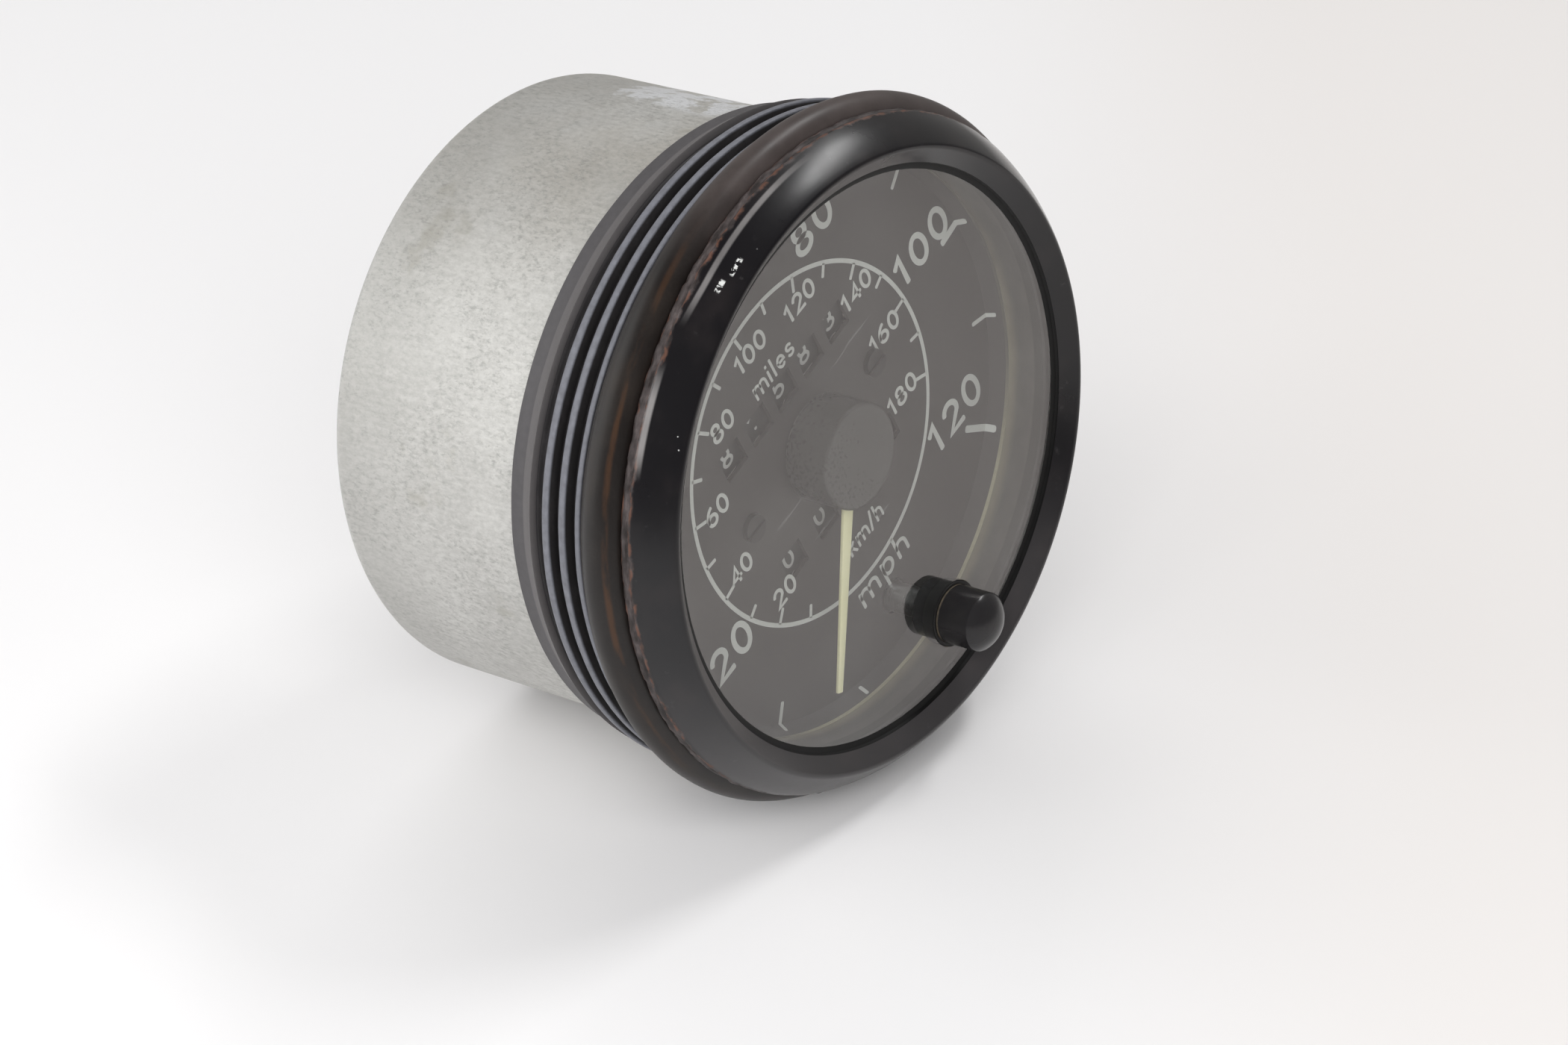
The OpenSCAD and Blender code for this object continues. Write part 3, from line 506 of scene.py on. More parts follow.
@dataclass(frozen=True)
class Enamel:
    """Satin black enamel with chips on the face, a rusty rear seam, a painted highlight on the face's outer
    corner and a painted table reflection low on the face.
    """

    colour: Colour = (0.0055, 0.005, 0.006)
    faded: Colour = (0.022, 0.017, 0.017)
    copper: Colour = (0.13, 0.055, 0.033)
    rubbed: Colour = (0.3, 0.285, 0.28)
    bare: Colour = (0.74, 0.75, 0.73)
    # Colour of the dust specks and of the painted table reflection on the lower face.
    dust: Colour = (0.5, 0.47, 0.47)
    rust: Sequence[tuple[float, Colour]] = (
        (0.25, (0.008, 0.006, 0.006)), (0.42, (0.022, 0.017, 0.016)), (0.56, (0.05, 0.04, 0.039)),
        (0.68, (0.085, 0.069, 0.067)), (0.85, (0.032, 0.022, 0.02)))

    def make(self) -> bpy.types.Material:
        """Builds the material.

        Returns:
            The material.
        """
        g = Graph("black_enamel")
        grain = g.noise(900, 3, 0.6)
        cloud = g.ring_noise(6, 150, 3, 4.0)
        colour = g.mix(cloud.between(0.45, 0.8) * 0.4, self.colour, self.faded)
        rim = g.height + (g.ring_noise(22, 300, 4, 1.0) - 0.5) * 1.8
        rust = rim.between(10.1, 9.6) * g.reach.between(53.0, 53.4)
        patch = g.ring_noise(20, 900, 6, 8.0)
        colour = g.mix(rust, colour, self.seam(g, rim, patch))
        # Painted highlight along the rounded outer corner of the coned face.
        colour = g.mix(self.edge(g, cloud).clipped(), colour, self.rubbed)
        bare = self.chips(g)
        colour = g.mix(bare, colour, self.bare)
        # Painted reflection: the lower part of the coned face is lightened as if it mirrored the pale table;
        # dust adds it to the real specks.
        low = g.angle.between(-1.2, -2.1) + g.angle.between(2.3, 2.9)
        table_reflection = low * g.height.between(9.8, 10.4) * 0.065
        dust = g.noise(400, 4, 0.7, shift=6.0).between(0.62, 0.8) * 0.05 + table_reflection
        colour = g.mix(dust, colour, self.dust)
        smooth = g.angle.within(0.4, 1.0, 1.9, 2.3)
        rough = 0.22 + cloud * 0.1 + grain * 0.06 + rust * 0.3 - smooth * 0.15
        normal = g.bump(grain, 0.015, 0.3, g.bump(bare, -0.08, 0.6))
        mixed = g.node("ShaderNodeMix", {"data_type": "VECTOR"}, {
            0: rust, 4: normal, 5: g.bump(patch, 0.22, 0.7)})
        return g.close(g.surface(
            Base_Color=colour, Metallic=bare * 0.2, Roughness=rough, Specular_IOR_Level=0.46,
            Normal=mixed.outputs[1]))

    def seam(self, g: Graph, rim: Value, patch: Value) -> bpy.types.NodeSocket:
        """Gives the colours of the rusty seam.

        Args:
            g: The material.
            rim: The height, with a ragged edge.
            patch: The rust's pattern.

        Returns:
            The colour, coppery in places.
        """
        colour = g.node("ShaderNodeValToRGB", {"stops": self.rust}, {0: patch}).outputs[0]
        copper = (rim.between(8.3, 7.9) + rim.between(9.2, 9.6)) * g.angle.between(-2.1, -1.8)
        copper = copper * g.ring_noise(24, 900, 4, 5.0).between(0.44, 0.56)
        return g.mix(copper.clipped() * 0.7, colour, self.copper)

    def edge(self, g: Graph, cloud: Value) -> Value:
        """Tells where a painted highlight runs along the rounded outer corner of the coned face.

        Args:
            g: The material.
            cloud: The enamel's clouds.

        Returns:
            The share, over a part of the round only.
        """
        inset = g.reach + g.angle.within(-0.5, -0.2, 0.3, 0.7) * 0.5
        line = inset.within(53.95, 54.15, 54.4, 54.55) * g.height.between(9.3, 9.6)
        low = g.angle.between(-2.0, -2.4) + g.angle.between(2.9, 3.1)
        left = g.angle.within(-0.8, -0.7, -0.58, -0.45)
        top = g.angle.within(-0.36, -0.22, 0.1, 0.35)
        return line * (left + low * 0.5 + top * 0.7) * (cloud * 0.8 + 0.3)

    def chips(self, g: Graph) -> Value:
        """Tells where the metal is bare: two clusters of chips, and nicks all over the face.

        Args:
            g: The material.

        Returns:
            The share, 0 to 1.
        """
        lower = g.angle.within(-0.228, -0.218, -0.19, -0.182) * g.reach.within(52.3, 52.4, 52.8, 52.9)
        upper = g.angle.within(-0.165, -0.155, -0.11, -0.098) * g.reach.within(51.95, 52.05, 52.4, 52.55)
        chip = (lower + upper) * g.noise(1000, 4, 0.7, shift=2.0).between(0.49, 0.52)
        nicks = g.cells(420, shift=5.0).between(0.07, 0.03) * g.noise(70, 2, shift=8.0).between(0.6, 0.66)
        return (chip * g.height.between(9.9, 10.2) + nicks * 0.7 * g.height.between(9.9, 10.5)).clipped()


@dataclass(frozen=True)
class DustyGlass:
    """Flat glass with fine scratches and a trace of dust."""

    clear: Colour = (0.965, 0.975, 0.968)
    dust: Colour = (0.42, 0.43, 0.42)
    mirror: Colour = (1.0, 0.955, 0.94)
    sheen: float = 2.0

    def make(self) -> bpy.types.Material:
        """Builds the material.

        Returns:
            The material.
        """
        g = Graph("dusty_glass")
        speck = g.cells(650, shift=2.0).between(0.06, 0.03) * g.noise(60, 2, shift=3.0).between(0.52, 0.6)
        film = g.noise(45, 5, 0.65, shift=1.0).between(0.35, 0.8)
        hair = g.noise(700, 2, 0.5, (0.06, 1, 1.6), 4.0).between(0.7, 0.74)
        hair = hair * g.noise(50, 2, shift=9.0).between(0.5, 0.6)
        border = g.reach.between(43.5, 47.2) * film
        crumbs = g.cells(1500, shift=6.0).between(0.16, 0.1) * g.reach.between(46.2, 47.0)
        crumbs = crumbs * g.z.between(0.0, -0.02)
        dust = speck * 0.3 + film * 0.03 + hair * 0.16 + border * 0.1 + crumbs * 0.25 + 0.008
        clear = g.node("ShaderNodeBsdfTransparent", {}, {"Color": self.clear})
        gloss = g.surface(Base_Color=self.dust, Roughness=0.35)
        dusty = g.node("ShaderNodeMixShader", {}, {
            0: dust.clipped(), 1: clear.outputs[0], 2: gloss.outputs[0]})
        mirror = g.node("ShaderNodeBsdfAnisotropic", {"distribution": "GGX"}, {
            "Color": self.mirror, "Roughness": 0.02})
        slant = Value(g, g.node("ShaderNodeFresnel", {}, {"IOR": 1.5}).outputs[0])
        rear = Value(g, g.node("ShaderNodeNewGeometry", {}, {}).outputs["Backfacing"])
        return g.close(g.node("ShaderNodeMixShader", {}, {
            0: slant * (1.0 - rear) * self.sheen, 1: dusty.outputs[0], 2: mirror.outputs[0]}))


@dataclass(frozen=True)
class Paint:
    """Matte or satin paint with a fine grain, soft clouds and small specks."""

    name: str
    colour: Colour
    tint: Colour
    rough: float = 0.55
    grain: float = 1800.0
    speck: Colour = (0.3, 0.3, 0.28)
    specks: float = 0.12
    metallic: float = 0.0
    relief: float = 0.3

    def make(self) -> bpy.types.Material:
        """Builds the material.

        Returns:
            The material.
        """
        g = Graph(self.name)
        grain = g.noise(self.grain, 3, 0.6)
        cloud = g.noise(60, 4, 0.6, shift=2.0)
        colour = g.mix((cloud * 0.6 + grain * 0.4).between(0.3, 0.75), self.colour, self.tint)
        dots = g.cells(700, shift=3.0).between(0.09, 0.05) * g.noise(80, 2, shift=4.0).between(0.5, 0.6)
        colour = g.mix(dots * self.specks, colour, self.speck)
        rough = self.rough + (grain - 0.5) * 0.2 + (cloud - 0.5) * 0.15
        normal = g.bump(grain, 0.015, self.relief)
        return g.close(g.surface(Base_Color=colour, Roughness=rough, Metallic=self.metallic, Normal=normal))


@dataclass(frozen=True)
class SpacerBand:
    """Grey ring with a painted cream glow at its foot, strongest towards the bottom of the dial."""

    foot: float = 3.1
    dark: Colour = (0.06, 0.057, 0.052)
    light: Colour = (0.1, 0.094, 0.085)
    cream: Colour = (0.3, 0.27, 0.18)
    shadow: Colour = (0.02, 0.019, 0.018)

    def make(self) -> bpy.types.Material:
        """Builds the material.

        Returns:
            The material.
        """
        g = Graph("spacer_grey")
        grain = g.noise(900, 3, 0.6)
        cloud = g.ring_noise(7, 300, 3, 2.0)
        colour = g.mix((grain * 0.4 + cloud * 0.6).between(0.3, 0.75), self.dark, self.light)
        # Painted glow: the foot of the band is lightened to cream, most of all towards the bottom.
        low = g.angle.between(1.3, 2.1) + g.angle.between(-2.0, -2.4)
        glow = g.height.between(self.foot + 2.6, self.foot) * (cloud * 0.6 + 0.5) * (low * 0.8 + 0.2)
        colour = g.mix(glow.clipped() * 0.7, colour, self.cream)
        colour = g.mix(g.height.between(8.2, 8.5) * 0.7, colour, self.shadow)
        normal = g.bump(grain, 0.01, 0.2)
        return g.close(g.surface(Base_Color=colour, Roughness=0.4 + grain * 0.2, Normal=normal))


@dataclass(frozen=True)
class AgedCard:
    """Cream card that has gone grey all round, apart from its lowest part."""

    cream: Colour = (0.34, 0.31, 0.21)
    pale: Colour = (0.46, 0.425, 0.3)
    grey: Colour = (0.055, 0.0525, 0.048)

    def make(self) -> bpy.types.Material:
        """Builds the material.

        Returns:
            The material.
        """
        g = Graph("gasket_cream")
        grain = g.noise(1800, 3, 0.6)
        cloud = g.ring_noise(5, 200, 4, 3.0)
        colour = g.mix((cloud * 0.6 + grain * 0.4).between(0.3, 0.75), self.cream, self.pale)
        faded = g.angle.within(-2.6, -2.2, 2.0, 2.6)
        colour = g.mix(faded * (cloud * 0.3 + 0.75), colour, self.grey)
        normal = g.bump(grain, 0.02, 0.3)
        return g.close(g.surface(Base_Color=colour, Roughness=0.65 + grain * 0.15, Normal=normal))


@dataclass(frozen=True)
class TurnedMetal:
    """Bare metal with fine turning lines round the dial's axis or along another one."""

    name: str
    colour: Colour
    tint: Colour
    rough: float = 0.3
    lines: Sequence[float] = (400, 6000, 400)

    def make(self) -> bpy.types.Material:
        """Builds the material.

        Returns:
            The material.
        """
        g = Graph(self.name)
        lines = g.noise(1.0, 2, 0.5, self.lines)
        cloud = g.noise(120, 4, 0.6, shift=2.0)
        colour = g.mix((lines * 0.5 + cloud * 0.5).between(0.3, 0.7), self.colour, self.tint)
        rough = self.rough + (lines - 0.5) * 0.12 + (cloud - 0.5) * 0.2
        normal = g.bump(lines, 0.01, 0.3)
        return g.close(g.surface(Base_Color=colour, Metallic=1.0, Roughness=rough, Normal=normal))


@dataclass(frozen=True)
class PolishedBlack:
    """Polished black moulding with hair scratches and a dusty ring at the collar."""

    dust_z: float
    dark: Colour = (0.015, 0.014, 0.015)
    light: Colour = (0.02, 0.019, 0.0195)
    dust: Colour = (0.16, 0.13, 0.09)

    def make(self) -> bpy.types.Material:
        """Builds the material.

        Returns:
            The material.
        """
        g = Graph("polished_black")
        hair = g.noise(500, 2, 0.5, (2, 0.2, 2), 1.0)
        smear = g.noise(150, 4, 0.6, shift=2.0)
        z = self.dust_z
        dust = g.height.within(z - 0.25, z, z + 0.1, z + 0.35) * g.noise(900, 3, shift=3.0).between(0.3, 0.6)
        colour = g.mix(smear.between(0.3, 0.8), self.dark, self.light)
        colour = g.mix(dust * 0.7, colour, self.dust)
        rough = 0.24 + smear * 0.04 + dust * 0.4
        normal = g.bump(hair, 0.008, 0.15)
        return g.close(g.surface(Base_Color=colour, Roughness=rough, Specular_IOR_Level=0.4, Normal=normal))


@dataclass(frozen=True)
class BulbGlass:
    """Thin clear glass of a lamp."""

    clear: Colour = (0.96, 0.96, 0.94)
    film: Colour = (0.8, 0.8, 0.76)

    def make(self) -> bpy.types.Material:
        """Builds the material.

        Returns:
            The material.
        """
        g = Graph("bulb_glass")
        film = g.noise(300, 3, 0.6).between(0.3, 0.8)
        clear = g.node("ShaderNodeBsdfTransparent", {}, {"Color": self.clear})
        gloss = g.surface(Base_Color=self.film, Roughness=0.12)
        mixed = g.node("ShaderNodeMixShader", {}, {
            0: film * 0.15 + 0.18, 1: clear.outputs[0], 2: gloss.outputs[0]})
        return g.close(mixed)


class Finish(Enum):
    """The part's finishes, by the piece that wears them."""

    ZINC = ZincPlate()
    SLEEVE = Rubber("sleeve_rubber", (0.021, 0.0195, 0.02), (0.045, 0.042, 0.044), ribbed=True, rough=0.36)
    RING = Rubber("ring_rubber", (0.0095, 0.0075, 0.0068), (0.02, 0.0165, 0.015), stained=True, rough=0.3)
    SEAL = Rubber("seal_rubber", (0.004, 0.004, 0.004), (0.01, 0.0095, 0.009), rough=0.5)
    GROMMET = Rubber("grommet_rubber", (0.008, 0.0075, 0.0075), (0.013, 0.012, 0.011))
    ENAMEL = Enamel()
    GLASS = DustyGlass()
    SPACER = SpacerBand()
    CARD = AgedCard()
    DIAL = Paint("dial_black", (0.034, 0.0305, 0.0298), (0.042, 0.038, 0.0368), 0.6, relief=0.05)
    MARK = Paint("mark_white", (0.5, 0.505, 0.49), (0.58, 0.585, 0.56), 0.6)
    DIGIT = Paint("digit_white", (0.4, 0.4, 0.39), (0.48, 0.48, 0.46), 0.6, speck=(0.25, 0.25, 0.23))
    CREAM = Paint("pointer_cream", (0.76, 0.72, 0.44), (0.84, 0.8, 0.53), 0.45, speck=(0.5, 0.42, 0.2))
    HUB = Paint("hub_grey", (0.03, 0.0285, 0.0275), (0.042, 0.04, 0.038), 0.3, relief=0.08)
    DRUM = Paint("drum_black", (0.018, 0.018, 0.018), (0.026, 0.026, 0.026), 0.5)
    SCREW = Paint("screw_black", (0.02, 0.02, 0.02), (0.04, 0.038, 0.035), 0.4, metallic=0.6)
    IVORY = Paint("gear_ivory", (0.66, 0.62, 0.5), (0.74, 0.7, 0.58), 0.45, speck=(0.4, 0.33, 0.2))
    LAMP = Paint("lamp_black", (0.02, 0.018, 0.017), (0.035, 0.03, 0.028), 0.35)
    MAGNET = Paint("magnet_grey", (0.1, 0.1, 0.105), (0.16, 0.16, 0.165), 0.6, metallic=0.5)
    STEEL = TurnedMetal("bright_steel", (0.45, 0.45, 0.46), (0.62, 0.62, 0.63), 0.3)
    SHEET = TurnedMetal("plated_sheet", (0.45, 0.45, 0.43), (0.6, 0.6, 0.58), 0.4, (200, 200, 3000))
    BRASS = TurnedMetal("turned_brass", (0.5, 0.36, 0.15), (0.66, 0.5, 0.24), 0.32)
    CAST = Paint(
        "cast_zinc", (0.34, 0.34, 0.34), (0.45, 0.45, 0.45), 0.5, 900.0, (0.2, 0.2, 0.2), metallic=0.8)
    SPUN = TurnedMetal("spun_aluminium", (0.66, 0.66, 0.67), (0.78, 0.78, 0.79), 0.28)
    KNOB = PolishedBlack(12.6)
    BULB = BulbGlass()


class Wardrobe:
    """Makes each finish once and puts it on pieces."""

    def __init__(self) -> None:
        """Starts with no material made."""
        self.made: dict[Finish, bpy.types.Material] = {}

    def dress(self, piece: bpy.types.Object, finish: Finish) -> bpy.types.Object:
        """Puts a finish on a piece.

        Args:
            piece: The object.
            finish: The finish.

        Returns:
            The same object.
        """
        if finish not in self.made:
            self.made[finish] = finish.value.make()
        piece.data.materials.clear()
        piece.data.materials.append(self.made[finish])
        return piece


WARDROBE = Wardrobe()


class Join(Enum):
    """What one piece does to another."""

    CUT = "DIFFERENCE"
    ADD = "UNION"


class Bench:
    """Modelling steps, as done by hand."""

    WELD = 2e-6
    ROD_SIDES = 64
    BEVEL_STEPS = 2
    BEVEL_ANGLE = 40.0

    @staticmethod
    def free_hands() -> None:
        """Leaves edit mode and deselects everything."""
        if bpy.context.object is not None and bpy.context.object.mode != "OBJECT":
            bpy.ops.object.mode_set(mode="OBJECT")
        bpy.ops.object.select_all(action="DESELECT")

    @staticmethod
    def pick(piece: bpy.types.Object) -> None:
        """Selects one piece alone and makes it active.

        Args:
            piece: The piece.
        """
        Bench.free_hands()
        piece.select_set(True)
        bpy.context.view_layer.objects.active = piece

    @staticmethod
    def named(name: str) -> bpy.types.Object:
        """Names the piece that was just added.

        Args:
            name: Its name.

        Returns:
            The piece.
        """
        piece = bpy.context.object
        piece.name = piece.data.name = name
        return piece

    @staticmethod
    def face_out(piece: bpy.types.Object) -> None:
        """Turns the faces of a piece outwards.

        Args:
            piece: The piece.
        """
        Bench.pick(piece)
        bpy.ops.object.mode_set(mode="EDIT")
        bpy.ops.mesh.select_all(action="SELECT")
        bpy.ops.mesh.normals_make_consistent(inside=False)
        bpy.ops.object.mode_set(mode="OBJECT")

    @staticmethod
    def smooth(piece: bpy.types.Object, angle: float = 32.0) -> bpy.types.Object:
        """Shades a piece smooth.

        Args:
            piece: The piece.
            angle: Edges sharper than this, in degrees, stay sharp.

        Returns:
            The same piece.
        """
        Bench.pick(piece)
        bpy.ops.object.shade_smooth_by_angle(angle=math.radians(angle))
        return piece

    @staticmethod
    def lathe(name: str, outline: Outline, at: Point2 = (0.0, 0.0), steps: int = 192,
              closed: bool = True) -> bpy.types.Object:
        """Spins an outline round an axis that points at the reader.

        Args:
            name: The piece's name.
            outline: Radius and height of each point, in millimetres.
            at: The axis on the dial.
            steps: Stretches of a full turn.
            closed: Whether the outline is a loop; otherwise it starts and ends on the axis.

        Returns:
            The turned piece.
        """
        Bench.free_hands()
        bpy.ops.mesh.primitive_circle_add(vertices=len(outline), radius=MM)
        piece = Bench.named(name)
        for vertex, (radius, height) in zip(piece.data.vertices, outline):
            vertex.co = row(at[0] + radius, at[1], height)
        bpy.ops.object.mode_set(mode="EDIT")
        if not closed:
            Bench.drop_last_edge(piece, len(outline) - 1)
        bpy.ops.mesh.select_all(action="SELECT")
        bpy.ops.mesh.spin(
            steps=steps, angle=math.tau, center=row(*at, 0.0), axis=(0, 1, 0), use_auto_merge=True)
        bpy.ops.mesh.select_all(action="SELECT")
        bpy.ops.mesh.remove_doubles(threshold=Bench.WELD)
        bpy.ops.object.mode_set(mode="OBJECT")
        Bench.face_out(piece)
        return Bench.smooth(piece)

    @staticmethod
    def drop_last_edge(piece: bpy.types.Object, last: int) -> None:
        """Opens a loop of points between its last and first point.

        Args:
            piece: The loop, in edit mode.
            last: Number of the last point.
        """
        bpy.ops.mesh.select_all(action="DESELECT")
        bpy.ops.object.mode_set(mode="OBJECT")
        for edge in piece.data.edges:
            edge.select = set(edge.vertices) == {0, last}
        bpy.ops.object.mode_set(mode="EDIT")
        bpy.ops.mesh.select_mode(type="EDGE")
        bpy.ops.mesh.delete(type="EDGE_FACE")
        bpy.ops.mesh.select_mode(type="VERT")

    @staticmethod
    def block(name: str, low: Vector, high: Vector) -> bpy.types.Object:
        """Adds a block between two corners.

        Args:
            name: Its name.
            low: One corner.
            high: The opposite corner.

        Returns:
            The block, with its place in its mesh.
        """
        Bench.free_hands()
        bpy.ops.mesh.primitive_cube_add(size=1.0, location=(low + high) / 2)
        piece = Bench.named(name)
        piece.scale = [abs(b - a) for a, b in zip(low, high)]
        bpy.ops.object.transform_apply(location=True, rotation=True, scale=True)
        return piece

    @staticmethod
    def rod(name: str, radius: float, at: Point2, low: float, high: float) -> bpy.types.Object:
        """Adds a rod that points at the reader.

        Args:
            name: Its name.
            radius: Its radius in millimetres.
            at: Its place on the dial.
            low: Its rear end.
            high: Its front end.

        Returns:
            The rod.
        """
        Bench.free_hands()
        bpy.ops.mesh.primitive_cylinder_add(
            vertices=Bench.ROD_SIDES, radius=radius * MM, depth=(high - low) * MM,
            location=row(*at, (low + high) / 2), rotation=(math.pi / 2, 0, 0))
        piece = Bench.named(name)
        bpy.ops.object.transform_apply(location=True, rotation=True, scale=True)
        return piece

    @staticmethod
    def join(piece: bpy.types.Object, others: Iterable[bpy.types.Object], how: Join) -> bpy.types.Object:
        """Cuts pieces out of another, or adds them to it, and removes them.

        Args:
            piece: The piece that stays.
            others: The pieces that are used up.
            how: What they do to it.

        Returns:
            The piece that stays.
        """
        for other in others:
            Bench.pick(piece)
            modifier = piece.modifiers.new("join", "BOOLEAN")
            modifier.operation = how.value
            modifier.solver = "EXACT"
            modifier.object = other
            bpy.ops.object.modifier_apply(modifier=modifier.name)
            bpy.data.objects.remove(other)
        return piece

    @staticmethod
    def bevel(piece: bpy.types.Object, width: float) -> bpy.types.Object:
        """Rounds a piece's sharp edges.

        Args:
            piece: The piece.
            width: Width of the rounding in millimetres.

        Returns:
            The same piece.
        """
        Bench.pick(piece)
        modifier = piece.modifiers.new("round", "BEVEL")
        modifier.width = width * MM
        modifier.segments = Bench.BEVEL_STEPS
        modifier.limit_method = "ANGLE"
        modifier.angle_limit = math.radians(Bench.BEVEL_ANGLE)
        bpy.ops.object.modifier_apply(modifier=modifier.name)
        return Bench.smooth(piece)

    @staticmethod
    def displace(piece: bpy.types.Object, share: Callable[[Vector], float], **settings: object) -> None:
        """Moves the points of a piece.

        Args:
            piece: The piece.
            share: Share of the movement, by place.
            settings: The movement's further settings.
        """
        group = piece.vertex_groups.new(name="share")
        for vertex in piece.data.vertices:
            group.add([vertex.index], share(vertex.co), "REPLACE")
        Bench.pick(piece)
        modifier = piece.modifiers.new("displace", "DISPLACE")
        modifier.vertex_group = group.name
        for key, value in settings.items():
            setattr(modifier, key, value)
        bpy.ops.object.modifier_apply(modifier=modifier.name)
        piece.vertex_groups.clear()

    @staticmethod
    def roughen(piece: bpy.types.Object, where: Share, depth: float, size: float) -> None:
        """Gives part of a turned piece an uneven surface.

        Args:
            piece: The piece.
            where: Share by radius and height, in millimetres.
            depth: Depth in millimetres.
            size: Size of the unevenness in millimetres.
        """
        clouds = bpy.data.textures.new(piece.name + "_clouds", "CLOUDS")
        clouds.noise_scale = size * MM
        clouds.noise_depth = 3
        Bench.displace(
            piece, lambda co: where(math.hypot(co.x, co.z) / MM, PANEL_Y - co.y / MM),
            texture=clouds, texture_coords="LOCAL", strength=depth * MM, mid_level=0.5)

    @staticmethod
    def pull(piece: bpy.types.Object, where: Share, distance: float) -> None:
        """Pulls part of a turned piece towards the reader.

        Args:
            piece: The piece.
            where: Share by angle in degrees and height in millimetres.
            distance: Distance in millimetres.
        """
        Bench.displace(
            piece, lambda co: max(0.0, where(math.degrees(math.atan2(co.x, co.z)), PANEL_Y - co.y / MM)),
            direction="Y", strength=-distance * MM, mid_level=0.0)


def settle(piece: bpy.types.Object, body: str, slot: str, finish: Finish, *nodes: str) -> None:
    """Dresses a finished piece and hands it to the frame.

    Args:
        piece: The piece.
        body: The body that carries it.
        slot: The record's material slot; not used.
        finish: What it wears.
        nodes: The solids that it stands for.
    """
    WARDROBE.dress(piece, finish)
    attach(piece, body)
    if nodes:
        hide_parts(*nodes)
    LOG.info("%s on %s", piece.name, body)


@dataclass
class Shell:
    """The drum, its rubbers and the bezel."""

    case_r: float = 50.0
    wall: float = 0.9
    back: float = -56.5
    edge: float = 2.0
    mouth: float = 9.6
    flange_r: float = 53.0
    ring_r: float = 56.8
    ring_w: float = 7.7
    rubber_gap: float = 0.12
    sleeve_t: float = 1.3
    band_t: float = 1.7
    soft: float = 0.25
    rib_r: float = 53.8
    seat_r: float = 54.04
    land_r: float = 54.6
    seat_relief: float = 0.4
    rib_z: Sequence[float] = (-0.8, -4.1, -7.4)
    rib_w: float = 1.6
    sleeve_end: float = -17.0
    band_end: float = -14.4
    ramp: Point2 = (53.1, -11.6)
    pulled: float = 1.6
    hidden: float = 0.25
    bezel_r: float = 54.5
    bulge: float = 0.35
    crest: Point2 = (50.0, 15.6)
    aperture: Point2 = (47.1, 13.2)

    def build(self) -> None:
        """Builds every piece."""
        self.drum()
        self.sleeve()
        self.trim()
        self.bezel()

    def drum(self) -> None:
        """Turns the drum, with its rolled rear edge and front flange."""
        r, wall, back, edge, mouth = self.case_r, self.wall, self.back, self.edge, self.mouth
        outline = [(0.0, back), (r - 12, back), *arc(r - edge, back + edge, edge, edge, -90, 0, 8)]
        outline += [(r, -30), (r, mouth - wall), (self.flange_r, mouth - wall), (self.flange_r, mouth)]
        outline += [(r - wall, mouth), (r - wall, -30)]
        outline += [*arc(r - edge, back + edge, edge - wall, edge - wall, 0, -90, 6), (0.0, back + wall)]
        piece = Bench.lathe("drum_shell", outline, steps=224, closed=False)
        settle(piece, "base", "zinc_steel", Finish.ZINC, "case")

    def sleeve(self) -> None:
        """Turns the ribbed sleeve with its flat rear band."""
        inner, soft = self.case_r + self.rubber_gap, self.soft
        base, band = self.case_r + self.sleeve_t, self.case_r + self.band_t
        top = self.rib_z[0]
        edge_r, edge_z = self.ramp
        outline = [(inner, top), (inner, self.sleeve_end)]
        outline += [(band - 0.3, self.sleeve_end), (band, self.sleeve_end + 0.3), (band, self.band_end)]
        outline += [(edge_r - 0.15, edge_z - 0.3), (edge_r, edge_z - 0.1), (edge_r - 0.2, edge_z)]
        outline += [(base + soft, edge_z), (base, edge_z + soft)]
        for z in reversed(self.rib_z):
            rear, front = z - self.rib_w, z - (self.hidden if z == top else 0.0)
            outline += [(base, rear - soft), (base + soft, rear)]
            outline += arc(self.rib_r - 0.8, rear + 0.95, 0.8, 0.95, -90, 0, 7)
            outline += arc(self.rib_r - 0.2, front - 0.2, 0.2, 0.2, 0, 90, 3)
            outline += [(base + soft, front), (base, front + 0.2)] + ([(base, z)] if z == top else [])
        piece = Bench.lathe("sleeve_rubber", outline, steps=256)
        Bench.roughen(piece, lambda r, z: 1.0 if r > inner + 0.5 else 0.0, 0.14, 9.0)
        Bench.pull(piece, lambda t, z: self.slack(t), self.pulled)
        settle(piece, "base", "black_rubber", Finish.SLEEVE, "ribbed_sleeve")

    def trim(self) -> None:
        """Turns the round trim ring."""
        half = self.ring_w / 2
        mid = self.ring_r - half
        inner = self.case_r + self.rubber_gap
        foot = -math.degrees(math.acos((self.land_r - mid) / half))
        outline = [(inner, self.seat_relief), (self.seat_r, self.seat_relief)]
        outline += [(self.seat_r, 0.0), (self.land_r, 0.0)]
        outline += arc(mid, half, half, half, foot, 90, 24) + [(inner, self.ring_w)]
        piece = Bench.lathe("trim_rubber", outline, steps=256)
        Bench.roughen(piece, lambda r, z: 1.0 if r > inner + 0.5 and z > 0.5 else 0.0, 0.12, 12.0)
        Bench.pull(piece, lambda t, z: self.slack(t) * (1.0 - z / self.ring_w), self.pulled)
        settle(piece, "base", "black_rubber", Finish.RING, "trim_ring")

    @staticmethod
    def slack(angle: float) -> float:
        """Tells how far the old rubber is pulled forward at an angle clockwise from twelve o'clock.

        Args:
            angle: The angle in degrees.

        Returns:
            The share, 1 a little past twelve o'clock and 0 from 100 degrees away from there.
        """
        middle, half = 25.0, 100.0
        off = min(1.0, abs((angle - middle + 180.0) % 360.0 - 180.0) / half)
        return 0.5 + 0.5 * math.cos(math.pi * off)

